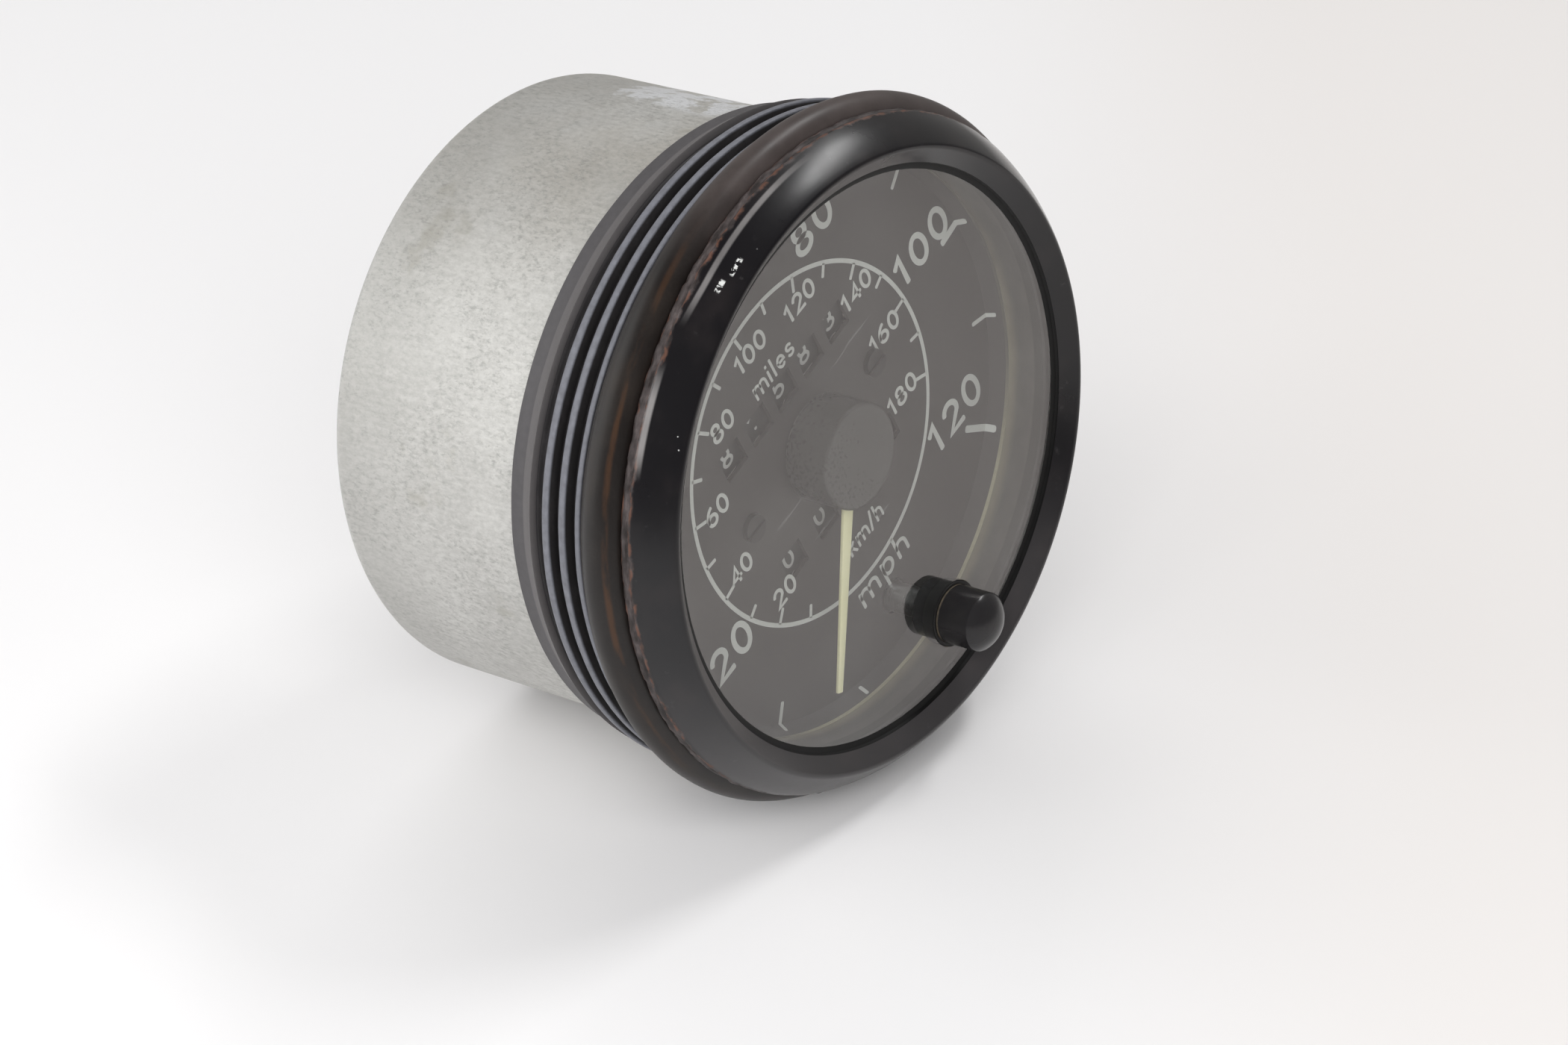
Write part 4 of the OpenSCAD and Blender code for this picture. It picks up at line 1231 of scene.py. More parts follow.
    def bezel(self) -> None:
        """Turns the bezel: rolled seam, coned face, round crest and inner slope."""
        seam, skirt = self.ring_w, self.ring_w + 2.0
        out, (cr, cz), (ar, az) = self.bezel_r, self.crest, self.aperture
        outline = [(out - 3.3, seam), (out - 1.2, seam), *arc(out - 0.75, seam + 0.8, 0.8, 0.8, -70, 45, 8)]
        outline += [(out - 0.2, seam + 1.55), (out - 0.05, skirt - 0.3)]
        foot, tip = Vector((out, skirt)), Vector((cr, cz))
        swell = Vector((tip.y - foot.y, foot.x - tip.x)).normalized() * self.bulge
        face = [foot.lerp(tip, u) + swell * 4 * u * (1 - u) for u in (0.2, 0.35, 0.5, 0.65, 0.8)]
        outline += self.corner((out, skirt - 0.6), (out, skirt), face[0], 0.7)
        outline += [tuple(spot) for spot in face]
        outline += self.corner(face[-1], (cr, cz), (ar, az), 0.8)
        outline += [(ar, az), (ar + 1.3, az), (cr, cz - 1.55), (out - 1.0, skirt - 0.15)]
        outline += [(out - 1.0, seam + 1.0), (out - 3.3, seam + 1.0)]
        piece = Bench.lathe("bezel_ring", outline, steps=384)
        Bench.roughen(piece, self.seam_share, 0.55, 1.6)
        settle(piece, "base", "black_enamel", Finish.ENAMEL, "bezel")

    def seam_share(self, radius: float, height: float) -> float:
        """Tells, by radius and height, how uneven the bezel is: 1 on its outer seam and 0 elsewhere."""
        return float(radius >= self.bezel_r - 0.9 and height <= self.ring_w + 1.9)

    @staticmethod
    def corner(before: Point2, at: Point2, after: Point2, radius: float) -> Outline:
        """Rounds the corner of an outline.

        Args:
            before: A point before the corner.
            at: The corner.
            after: A point after it.
            radius: The round's radius.

        Returns:
            The points of the round.
        """
        here = Vector(at)
        back, on = (Vector(before) - here).normalized(), (Vector(after) - here).normalized()
        half = back.angle(on) / 2
        centre = here + (back + on).normalized() * radius / math.sin(half)
        start = here + back * radius / math.tan(half) - centre
        end = here + on * radius / math.tan(half) - centre
        first = math.atan2(start.y, start.x)
        sweep = (math.atan2(end.y, end.x) - first + math.pi) % math.tau - math.pi
        steps = 8
        return [(centre.x + radius * math.cos(first + sweep * i / steps),
                 centre.y + radius * math.sin(first + sweep * i / steps)) for i in range(steps + 1)]


@dataclass
class Front:
    """The glass, the rings under it and the dial plate."""

    glass_r: float = 48.6
    glass: Point2 = (10.4, 12.4)
    seal_top: float = 13.2
    seal_lip: float = 1.15
    aperture_r: float = 47.1
    spacer: Point2 = (47.0, 48.4)
    gasket: Point2 = (2.5, 3.1)
    flat_r: float = 45.7
    border_r: float = 46.9
    border_out: float = 48.2
    dial_t: float = 0.8
    knob_at: Point2 = (0.0, -37.9)
    hole_r: float = 5.6
    row_y: float = 12.8
    window: Point2 = (5.4, 5.0)
    odo_x: Sequence[float] = (-14.8, -7.4, 0.0, 7.4, 14.8)
    trip_x: Sequence[float] = (-13.8, -4.6, 4.6, 13.8)
    screw_x: float = 17.8
    spindle_hole_r: float = 2.2
    stem_hole_r: float = 3.0
    screw_hole_r: float = 1.6

    def build(self) -> None:
        """Builds every piece."""
        back, front = self.glass
        pane = Bench.lathe("glass_pane", [
            (0.0, back), (self.glass_r - 0.3, back), (self.glass_r, back + 0.3), (self.glass_r, front - 0.3),
            (self.glass_r - 0.3, front), (0.0, front)], closed=False)
        Bench.join(pane, [Bench.rod("hole", self.hole_r, self.knob_at, back - 1, front + 1)], Join.CUT)
        settle(Bench.smooth(pane), "base", "clear_glass", Finish.GLASS, "glass")
        lip = self.aperture_r - self.seal_lip
        seal = Bench.lathe("seal_ring", [
            (lip, front + 0.02), (self.glass_r, front), (self.glass_r, self.seal_top),
            (self.aperture_r + 0.3, self.seal_top), (self.aperture_r, self.seal_top - 0.3),
            (self.aperture_r - 0.2, front + 0.25), (lip + 0.2, front + 0.14)])
        settle(seal, "base", "black_rubber", Finish.SEAL, "glass_seal")
        inner, outer = self.spacer
        low = self.gasket[1]
        band = Bench.lathe("spacer_band", [
            (inner, low), (outer, low), (outer, back), (inner + 0.3, back), (inner, back - 0.3)])
        settle(band, "base", "grey_plastic", Finish.SPACER, "spacer_ring")
        card = Bench.lathe("gasket_card", [
            (self.border_r, self.gasket[0]), (self.border_out, self.gasket[0]), (self.border_out, low),
            (self.border_r, low)])
        settle(card, "base", "cream_card", Finish.CARD, "dial_gasket")
        self.dial()

    def dial(self) -> None:
        """Turns the dished dial and cuts its windows and holes."""
        t, rim = self.dial_t, self.gasket[0]
        plate = Bench.lathe("dial_dish", [
            (0.0, 0.0), (self.flat_r, 0.0), (self.border_r, rim), (self.border_out, rim),
            (self.border_out, rim - t), (self.border_r + 0.35, rim - t), (self.flat_r + 0.35, -t), (0.0, -t)],
            closed=False)
        holes = [((0.0, 0.0), self.spindle_hole_r), (self.knob_at, self.stem_hole_r)]
        holes += [((side * self.screw_x, 0.0), self.screw_hole_r) for side in (-1, 1)]
        cutters = [Bench.rod("hole", radius, at, -3, 3) for at, radius in holes]
        half_w, half_h = self.window[0] / 2, self.window[1] / 2
        for x_places, y in ((self.odo_x, self.row_y), (self.trip_x, -self.row_y)):
            for x in x_places:
                low, high = row(x - half_w, y - half_h, -3), row(x + half_w, y + half_h, 3)
                cutters.append(Bench.block("hole", low, high))
        Bench.join(plate, cutters, Join.CUT)
        settle(Bench.smooth(plate), "base", "dial_black", Finish.DIAL, "dial_plate")


def oval(cx: float, cy: float, rx: float, ry: float, steps: int) -> Stroke:
    """Gives a closed oval stroke by its centre, its radii and its number of stretches."""
    return arc(cx, cy, rx, ry, 0, 360, steps)[:-1], True


def path(*points: Point2) -> Stroke:
    """Gives an open stroke through points."""
    return list(points), False


NUMERAL_W = 0.72
SIX = [oval(0.36, 0.33, 0.26, 0.24, 20), path(*arc(0.62, 0.34, 0.52, 0.57, 100, 180, 8))]
NINE = [([(NUMERAL_W - x, 1.0 - y) for x, y in points], loop) for points, loop in SIX]

# Width and strokes of each sign; a numeral and the x-height of a letter are one unit high.
GLYPHS: dict[str, tuple[float, list[Stroke]]] = {
    "0": (NUMERAL_W, [oval(0.36, 0.5, 0.27, 0.41, 28)]),
    "1": (0.52, [path((0.08, 0.72), (0.32, 0.9), (0.32, 0.09))]),
    "2": (NUMERAL_W, [path(*arc(0.36, 0.66, 0.26, 0.25, 165, -25, 12), (0.1, 0.1), (0.66, 0.1))]),
    "3": (NUMERAL_W, [path(
        *arc(0.34, 0.7, 0.24, 0.21, 150, -80, 12), *arc(0.34, 0.3, 0.28, 0.22, 80, -150, 12))]),
    "4": (NUMERAL_W, [path((0.52, 0.09), (0.52, 0.88), (0.1, 0.32), (0.68, 0.32))]),
    "5": (NUMERAL_W, [path(
        (0.6, 0.91), (0.2, 0.91), (0.16, 0.52), *arc(0.36, 0.34, 0.27, 0.25, 120, -150, 12))]),
    "6": (NUMERAL_W, SIX),
    "7": (NUMERAL_W, [path((0.1, 0.91), (0.62, 0.91), (0.28, 0.09))]),
    "8": (NUMERAL_W, [oval(0.36, 0.7, 0.22, 0.2, 18), oval(0.36, 0.3, 0.27, 0.21, 20)]),
    "9": (NUMERAL_W, NINE),
    "m": (1.5, [
        path((0.1, 0.0), (0.1, 0.98)), path(*arc(0.42, 0.58, 0.32, 0.36, 180, 0, 10), (0.74, 0.0)),
        path(*arc(1.06, 0.58, 0.32, 0.36, 180, 0, 10), (1.38, 0.0))]),
    "h": (0.92, [
        path((0.1, 0.0), (0.1, 1.5)), path(*arc(0.44, 0.58, 0.34, 0.36, 180, 0, 10), (0.78, 0.0))]),
    "p": (0.92, [path((0.1, -0.55), (0.1, 0.98)), oval(0.46, 0.48, 0.36, 0.45, 20)]),
    "k": (0.86, [
        path((0.1, 0.0), (0.1, 1.5)), path((0.72, 0.95), (0.16, 0.45)), path((0.34, 0.6), (0.76, 0.0))]),
    "i": (0.34, [path((0.14, 0.0), (0.14, 0.92)), path((0.14, 1.3), (0.14, 1.42))]),
    "l": (0.34, [path((0.14, 0.0), (0.14, 1.5))]),
    "e": (0.95, [path((0.12, 0.48), (0.8, 0.48), *arc(0.46, 0.48, 0.35, 0.44, 0, 315, 18))]),
    "s": (0.85, [path(
        *arc(0.4, 0.7, 0.27, 0.22, 25, 265, 12), *arc(0.4, 0.26, 0.29, 0.22, 85, -155, 12))]),
    "/": (0.6, [path((0.04, -0.1), (0.5, 1.5))]),
}


@dataclass(frozen=True)
class Type:
    """The size of signs: height in millimetres, stroke width, spacing by the height, and widening."""

    height: float
    weight: float
    spacing: float = 0.14
    wide: float = 1.0


class Lettering:
    """Collects flat strokes and lays them on a surface as one thin piece."""

    PAINT = 0.04

    def __init__(self, name: str) -> None:
        """Starts an empty piece.

        Args:
            name: The piece's name.
        """
        self.name = name
        self.points: list[tuple[float, float, float]] = []
        self.faces: list[tuple[int, ...]] = []

    def stroke(self, line: Outline, width: float, lay: Lay, loop: bool = False) -> None:
        """Adds a stroke as a thin slab with round ends.

        Args:
            line: The stroke's middle line, in millimetres.
            width: Its width.
            lay: Turns across, up and out into a place.
            loop: Whether the line is a loop.
        """
        spots = [Vector(point) for point in line]
        sides = self.sides(spots, width, loop)
        if not loop:
            sides[:1] = self.cap(spots[0], spots[1], width, False)
            sides[-1:] = self.cap(spots[-1], spots[-2], width, True)
        base, total = len(self.points), len(sides)
        for pair in sides:
            self.points += [tuple(lay(spot.x, spot.y, out)) for out in (0.0, self.PAINT) for spot in pair]
        for i in range(total if loop else total - 1):
            a, b = base + 4 * i, base + 4 * ((i + 1) % total)
            self.faces += [(a + 2, b + 2, b + 3, a + 3), (a, a + 1, b + 1, b)]
            self.faces += [(a, b, b + 2, a + 2), (a + 1, a + 3, b + 3, b + 1)]
        if not loop:
            last = base + 4 * (total - 1)
            self.faces += [(base, base + 2, base + 3, base + 1), (last, last + 1, last + 3, last + 2)]

    @staticmethod
    def sides(spots: list[Vector], width: float, loop: bool) -> list[tuple[Vector, Vector]]:
        """Gives the two sides of a stroke at each point of its middle line.

        Args:
            spots: The middle line.
            width: The stroke's width.
            loop: Whether the line is a loop.

        Returns:
            Pairs of left and right points.
        """
        pairs = []
        count = len(spots)
        for i, here in enumerate(spots):
            first = (here - spots[i - 1]).normalized() if loop or i else None
            second = (spots[(i + 1) % count] - here).normalized() if loop or i < count - 1 else None
            along = ((first or second) + (second or first)).normalized()
            spread = 1.0 if first is None or second is None else min(1.7, 1.0 / max(0.3, along.dot(first)))
            half = Vector((-along.y, along.x)) * width / 2 * spread
            pairs.append((here + half, here - half))
        return pairs

    @staticmethod
    def cap(end: Vector, inside: Vector, width: float, closing: bool) -> list[tuple[Vector, Vector]]:
        """Gives the sections of a softly rounded end.

        Args:
            end: The stroke's end point.
            inside: The point before it.
            width: The stroke's width.
            closing: Whether this is the last end of the stroke.

        Returns:
            Pairs of left and right points, in the stroke's order.
        """
        out = (end - inside).normalized()
        side = Vector((-out.y, out.x)) * (1.0 if closing else -1.0)
        pairs = []
        for share in (0.0, 0.55, 0.85, 1.0):
            half = width / 2 * math.sqrt(max(0.0, 1.0 - (share * 0.9) ** 2))
            spot = end + out * width * 0.3 * share
            pairs.append((spot + side * half, spot - side * half))
        return pairs if closing else pairs[::-1]

    def write(self, text: str, centre: Point2, kind: Type, lay: Lay) -> None:
        """Writes signs on a straight line.

        Args:
            text: What is written.
            centre: The middle of the text.
            kind: The size of the signs.
            lay: Turns across, up and out into a place.
        """
        shapes = [GLYPHS[sign] for sign in text]
        height, wide = kind.height, kind.wide
        total = sum(width for width, _ in shapes) * wide + kind.spacing * (len(shapes) - 1)
        x = centre[0] - total * height / 2
        for width, strokes in shapes:
            for points, loop in strokes:
                line = [(x + px * wide * height, centre[1] + (py - 0.5) * height) for px, py in points]
                self.stroke(line, kind.weight, lay, loop)
            x += (width * wide + kind.spacing) * height

    def piece(self) -> bpy.types.Object:
        """Makes the object out of all strokes.

        Returns:
            The piece.
        """
        Bench.free_hands()
        mesh = bpy.data.meshes.new(self.name)
        mesh.from_pydata(self.points, [], self.faces)
        mesh.update()
        made = bpy.data.objects.new(self.name, mesh)
        bpy.context.scene.collection.objects.link(made)
        Bench.face_out(made)
        return made


@dataclass
class Markings:
    """The scale, its numbers and the unit words."""

    zero: float = -160.9
    mph_step: float = 2.463
    kmh_step: float = 1.5306
    ring_r: float = 29.3
    line_w: float = 0.75
    thick_w: float = 1.25
    kmh_w: float = 0.62
    flat_r: float = 45.7
    border_r: float = 46.9
    border_h: float = 2.5
    border_out: Point2 = (0.88, 0.46)
    lift: float = 0.02
    mph_at: dict[str, Point2] = field(default_factory=lambda: {
        "20": (-32.6, -13.1), "40": (-33.8, 16.6), "60": (-8.6, 35.4), "80": (19.3, 30.3),
        "100": (37.0, 7.1), "120": (28.1, -23.6)})
    kmh_at: dict[str, Point2] = field(default_factory=lambda: {
        "20": (-18.3, -15.1), "40": (-23.5, -3.5), "60": (-22.0, 9.0), "80": (-13.6, 19.4),
        "100": (-2.4, 24.3), "120": (10.5, 22.3), "140": (21.3, 13.2), "160": (22.6, 2.1),
        "180": (20.2, -10.2)})
    mph_type: Type = Type(6.4, 1.05, 0.17, 1.02)
    kmh_type: Type = Type(3.7, 0.62, 0.1)
    words: Sequence[tuple[str, Point2, Type]] = (
        ("miles", (0.0, 17.5), Type(2.3, 0.5, 0.2)), ("km/h", (1.2, -22.6), Type(2.2, 0.5, 0.2)),
        ("mph", (0.7, -32.2), Type(3.0, 0.68, 0.35, 1.2)))

    def lay(self, x: float, y: float, out: float) -> Vector:
        """Lays a point on the flat of the dial."""
        return row(x, y, self.lift + out)

    def build(self) -> None:
        """Builds every marking."""
        scale = Lettering("dial_scale")
        scale.stroke(arc(0, 0, self.ring_r, self.ring_r, 0, 360, 180)[:-1], self.line_w, self.lay, True)
        for speed in range(10, 190, 10):
            angle = self.zero + self.kmh_step * speed
            long = 2.3 if speed % 20 else 2.7
            ends = [clockwise(angle, self.ring_r - inset) for inset in (0.3, long)]
            scale.stroke(ends, self.kmh_w, self.lay)
        for speed in range(0, 130, 10):
            self.tick(scale, speed)
        settle(scale.piece(), "base", "dial_black", Finish.MARK)
        numbers = Lettering("dial_numbers")
        for text, centre in self.mph_at.items():
            numbers.write(text, centre, self.mph_type, self.lay)
        for text, centre in self.kmh_at.items():
            numbers.write(text, centre, self.kmh_type, self.lay)
        settle(numbers.piece(), "base", "dial_black", Finish.MARK)
        units = Lettering("dial_units")
        for text, centre, kind in self.words:
            units.write(text, centre, kind, self.lay)
        settle(units.piece(), "base", "dial_black", Finish.MARK)

    def tick(self, scale: Lettering, speed: int) -> None:
        """Adds a tick of the outer scale, which runs up the dial's border.

        Args:
            scale: The piece that it joins.
            speed: The speed that it marks.
        """
        angle = self.zero + self.mph_step * speed
        width = self.thick_w if speed % 20 == 0 and speed else self.line_w
        start = {0: 46.5, 120: 40.6}.get(speed, 41.4 if speed % 20 == 0 else 42.2)
        end = self.flat_r + (1.5 if speed else 2.2)
        flat = [(0, start), (0, self.flat_r - 0.2), (0, self.flat_r)] if start < self.flat_r else [(0, start)]
        scale.stroke([*flat, (0, end)], width, partial(self.climb, angle))

    def climb(self, angle: float, across: float, along: float, out: float) -> Vector:
        """Lays a point of a tick on the flat or on the border's slope.

        Args:
            angle: The tick's angle in degrees.
            across: Distance to the side of the tick's middle line.
            along: Distance from the axis, measured along the surface.
            out: Distance out of the surface.

        Returns:
            The place.
        """
        up = max(0.0, along - self.flat_r)
        run = self.border_r - self.flat_r
        slope = run / math.hypot(run, self.border_h)
        inward, forward = self.border_out if up else (0.0, 1.0)
        x, y = clockwise(angle, min(along, self.flat_r) + up * slope - out * inward)
        side = clockwise(angle + 90, across)
        height = up * math.sqrt(1 - slope ** 2) + self.lift + out * forward
        return row(x + side[0], y + side[1], height)


@dataclass
class Counter:
    """The numbers on one row of drums."""

    name: str
    body: str
    places: Sequence[float]
    y: float
    reading: str
    rising: float
    radius: float = 9.0
    axis_z: float = -10.4
    kind: Type = Type(3.8, 0.6)
    lift: float = 0.02

    def build(self) -> None:
        """Writes ten numerals round each drum."""
        for number, (x, shown) in enumerate(zip(self.places, self.reading), 1):
            ring = Lettering(f"{self.name}_numbers_{number}")
            for digit in range(10):
                turn = math.radians((digit - int(shown)) * 36.0 * self.rising)
                ring.write(str(digit), (0.0, 0.0), self.kind, partial(self.lay, x, turn))
            settle(ring.piece(), f"{self.body}_{number}", "drum_black", Finish.DIGIT)

    def lay(self, x: float, turn: float, across: float, up: float, out: float) -> Vector:
        """Lays a point on a drum.

        Args:
            x: Middle of the drum.
            turn: Where the numeral stands round the drum, in radians.
            across: Distance to the side of the numeral's middle.
            up: Distance over the numeral's middle.
            out: Distance out of the drum.

        Returns:
            The place.
        """
        reach = self.radius + self.lift + out
        place = turn + up / self.radius
        return row(x + across, self.y + reach * math.sin(place), self.axis_z + reach * math.cos(place))


@dataclass
class Pointer:
    """The hub cap and the blade."""

    hub_r: float = 8.7
    hub: Point2 = (1.4, 9.6)
    bore_r: float = 0.8
    boss_r: float = 2.5
    wall: float = 1.1
    blade_z: float = 7.7
    blade_t: float = 0.6
    blade_round: float = 0.14
    reach: float = 39.6
    widths: Point2 = (2.4, 1.2)
    rest: float = -143.3

    def build(self) -> None:
        """Builds both pieces."""
        low, top = self.hub
        inside = self.hub_r - self.wall
        outline = [(0.0, top)] + arc(self.hub_r - 0.55, top - 0.55, 0.55, 0.55, 90, 0, 6)
        roof = top - self.wall
        outline += [(self.hub_r, low + 0.3), (self.hub_r - 0.3, low), (inside, low), (inside, roof)]
        outline += [(self.boss_r, roof), (self.boss_r, low)]
        outline += [(self.bore_r, low), (self.bore_r, roof), (0.0, roof)]
        cap = Bench.lathe("hub_cap", outline, steps=128, closed=False)
        settle(cap, "pointer", "hub_grey", Finish.HUB, "pointer_hub")
        self.blade()

    def blade(self) -> None:
        """Shapes the tapering blade from a block."""
        start = self.hub_r + 0.02
        blade = Bench.block("blade_strip", row(-0.5, -0.5, 0), row(0.5, 0.5, 1))
        for vertex in blade.data.vertices:
            far = vertex.co.z > 0
            half = (self.widths[1] if far else self.widths[0]) / 2
            side = math.copysign(half, vertex.co.x)
            along = self.reach if far else start
            front = vertex.co.y < row(0, 0, 0.5).y
            height = self.blade_z + (0 if front else -self.blade_t)
            x, y = clockwise(self.rest, along)
            across = clockwise(self.rest + 90, side)
            vertex.co = row(x + across[0], y + across[1], height)
        Bench.face_out(blade)
        Bench.bevel(blade, self.blade_round)
        settle(blade, "pointer", "pointer_cream", Finish.CREAM, "pointer_blade")


@dataclass
class Knob:
    """The trip knob, its collar and its return spring."""

    at: Point2 = (0.0, -37.9)
    radius: float = 4.9
    back: float = 7.4
    top: float = 21.05
    dome: float = 2.45
    stem_r: float = 2.5
    stem_top: float = 10.4
    collar: tuple[float, float, float, float] = (4.96, 5.47, 10.2, 12.6)
    travel: float = 4.0
    coil: Point2 = (-12.0, -2.6)
    coil_r: float = 3.05
    coils: int = 6
    wire: float = 0.6

    def build(self) -> None:
        """Builds the knob and its collar, then the spring."""
        self.cap()
        self.spring()

    def cap(self) -> None:
        """Turns the knob and its collar."""
        r, top = self.radius, self.top
        ball = (r * r + self.dome * self.dome) / (2 * self.dome)
        rim = math.degrees(math.acos(r / ball))
        outline = arc(0.0, top - ball, ball, ball, 90, rim + 1.5, 12)
        outline += [(r - 0.02, top - self.dome - 0.04), (r, top - self.dome - 0.12)]
        outline += [(r, 12.4), (r, self.back + 0.3), (r - 0.3, self.back), (self.stem_r, self.back)]
        outline += [(self.stem_r, self.stem_top), (0.0, self.stem_top)]
        knob = Bench.lathe("push_knob", outline, self.at, 96, closed=False)
        settle(knob, "knob", "knob_black", Finish.KNOB, "trip_knob")
        inner, outer, low, high = self.collar
        ring = [(inner, low), (outer, low), (outer, high - 0.15), (outer - 0.15, high), (inner, high)]
        collar = Bench.lathe("knob_collar", ring, self.at, 96)
        settle(collar, "base", "black_rubber", Finish.GROMMET, "knob_grommet")

    def spring(self) -> None:
        """Winds the return spring."""
        low, high = self.coil
        Bench.free_hands()
        bpy.ops.mesh.primitive_circle_add(vertices=12, radius=self.wire / 2 * MM)
        piece = Bench.named("return_spring")
        bpy.ops.object.mode_set(mode="EDIT")
        bpy.ops.mesh.select_all(action="SELECT")
        bpy.ops.transform.rotate(value=math.pi / 2, orient_axis="X", center_override=(0, 0, 0))
        bpy.ops.transform.translate(value=(self.coil_r * MM, 0, 0))
        bpy.ops.object.mode_set(mode="OBJECT")
        winding = piece.modifiers.new("winding", "SCREW")
        winding.axis = "Z"
        winding.screw_offset = (high - low - self.wire) / self.coils * MM
        winding.iterations = self.coils
        winding.steps = winding.render_steps = 28
        bpy.ops.object.modifier_apply(modifier=winding.name)
        bpy.ops.object.mode_set(mode="EDIT")
        bpy.ops.mesh.select_all(action="SELECT")
        bpy.ops.mesh.fill_holes(sides=0)
        bpy.ops.object.mode_set(mode="OBJECT")
        Bench.face_out(piece)
        foot = row(*self.at, low + self.wire / 2)
        piece.data.transform(Matrix.Translation(foot) @ Matrix(((1, 0, 0), (0, 0, -1), (0, 1, 0))).to_4x4())
        settle(Bench.smooth(piece, 50.0), "base", "bright_steel", Finish.STEEL, "knob_spring")
        row(*self.at, low)
        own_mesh(piece)


@dataclass
class Rear:
    """The cable boss with its thread, the lamp holders and the earth tab."""

    back: float = -56.5
    boss_r: float = 9.0
    boss_len: float = 10.5
    pitch: float = 1.5
    depth: float = 0.55
    bore_r: float = 2.56
    mouth_r: float = 4.7
    mouth_depth: float = 6.0
    plate_z: float = -51.6
    spigot: Point2 = (5.5, -49.2)
    lamp_at: Point2 = (24.0, 29.0)
    lamp_r: float = 5.4
    lamp_bore_r: float = 3.2
    lamp_reach: float = 8.9
    tab_w: float = 6.3
    tab_y: Point2 = (-36.0, -28.0)
    tab_t: float = 0.8
    tab_len: float = 9.0
    tab_hole: Point2 = (0.9, 6.2)
    tab_round: float = 0.25

    def build(self) -> None:
        """Builds every piece."""
        self.boss()
        for number, side in enumerate((-1, 1), 1):
            self.lamp(number, side)
        self.tab()

    def boss(self) -> None:
        """Turns the boss; close rings stand for its thread."""
        end = self.back - self.boss_len
        r = self.boss_r
        bottom = end + self.mouth_depth
        outline = [(self.mouth_r, bottom), (self.mouth_r, end), (r - 1.0, end), (r - 0.6, end + 0.4)]
        z = end + 0.6
        while z < self.back - 2.6:
            outline += [(r - self.depth, z), (r, z + self.pitch * 0.45), (r, z + self.pitch * 0.55)]
            z += self.pitch
        back, plate, (spigot_r, spigot_z) = self.back, self.plate_z, self.spigot
        outline += [(r - self.depth, z), (r - self.depth, back - 0.9), (r, back - 0.5), (r, back)]
        outline += [(r + 1, back), (r + 1, back + 0.9), (r + 3, back + 0.9), (r + 3, plate)]
        outline += [(spigot_r, plate), (spigot_r, spigot_z), (self.bore_r, spigot_z), (self.bore_r, bottom)]
        piece = Bench.lathe("cable_boss", outline, steps=128)
        settle(piece, "base", "cast_zinc", Finish.CAST, "drive_boss")

    def lamp(self, number: int, side: int) -> None:
        """Turns one lamp holder, with a flange and a stepped end.

        Args:
            number: The holder's number.
            side: -1 for the left one and 1 for the right one.
        """
        r, b, bore = self.lamp_r, self.back, self.lamp_bore_r
        outline = [(0.0, b - 5), (r - 2.0, b - 5), (r - 1.6, b - 4.7), (r - 1.6, b - 4.2), (r - 0.3, b - 4.2)]
        outline += [(r, b - 3.9), (r, b - 2.5), (r + 1.2, b - 2.5), (r + 1.6, b - 2.1), (r + 1.6, b), (r, b)]
        outline += [(r, b + self.lamp_reach), (bore, b + self.lamp_reach), (bore, b + 0.5), (0.0, b + 0.5)]
        at = (side * self.lamp_at[0], self.lamp_at[1])
        holder = Bench.lathe(f"lamp_holder_{number}", outline, at, 72, closed=False)
        nodes = ("lamp_holders",) if number == 1 else ()
        settle(holder, "base", "lamp_black", Finish.LAMP, *nodes)

    def tab(self) -> None:
        """Shapes the earth tab: a foot on the case and a blade with a hole."""
        half, (low, high), back, thick = self.tab_w / 2, self.tab_y, self.back, self.tab_t
        foot = Bench.block("earth_blade", row(-half, low, back - thick), row(half, high, back))
        blade = Bench.block(
            "blade", row(-half, high - thick, back - self.tab_len), row(half, high, back - thick / 2))
        Bench.join(foot, [blade], Join.ADD)
        Bench.free_hands()
        hole_r, hole_at = self.tab_hole
        bpy.ops.mesh.primitive_cylinder_add(
            vertices=32, radius=hole_r * MM, depth=4 * MM, location=row(0, high - thick / 2, back - hole_at))
        hole = Bench.named("hole")
        bpy.ops.object.transform_apply(location=True, rotation=True, scale=True)
        Bench.join(foot, [hole], Join.CUT)
        Bench.bevel(foot, self.tab_round)
        settle(foot, "base", "brass", Finish.BRASS, "earth_tab")


PLAIN_NODES: dict[Finish, Sequence[str]] = {
    Finish.SCREW: ("dial_screws",),
    Finish.STEEL: (
        "pointer_spindle", "hairspring", "bridge_screws", "flux_cup", "drive_shaft", "movement_screws",
        "cross_shaft", "riser_shaft", "odometer_shaft", "trip_shaft", "knob_stem", "lever_pin"),
    Finish.SPUN: ("drag_cup",),
    Finish.BRASS: ("bridge", "bridge_bush", "worm_wheel", "riser_wheel"),
    Finish.MAGNET: ("magnet",),
    Finish.CAST: ("movement_frame",),
    Finish.IVORY: ("odometer_gear", "trip_gear"),
    Finish.SHEET: ("reset_bracket", "reset_lever"),
    Finish.BULB: ("lamp_bulbs",),
}


def dress_nodes() -> None:
    """Puts a finish on every solid that stays as it is."""
    wanted = {name: finish for finish, names in PLAIN_NODES.items() for name in names}
    for name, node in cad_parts.items():
        if name in wanted:
            WARDROBE.dress(node, wanted[name])
        elif "_drum_" in name:
            WARDROBE.dress(node, Finish.DRUM)


@dataclass(frozen=True)
class SoftBox:
    """A lamp: its place and sides in metres, its power in watts, and whether reflections leave it out."""

    name: str
    up: float
    right: float
    toward: float
    size: Point2
    power: float
    hidden: bool = False


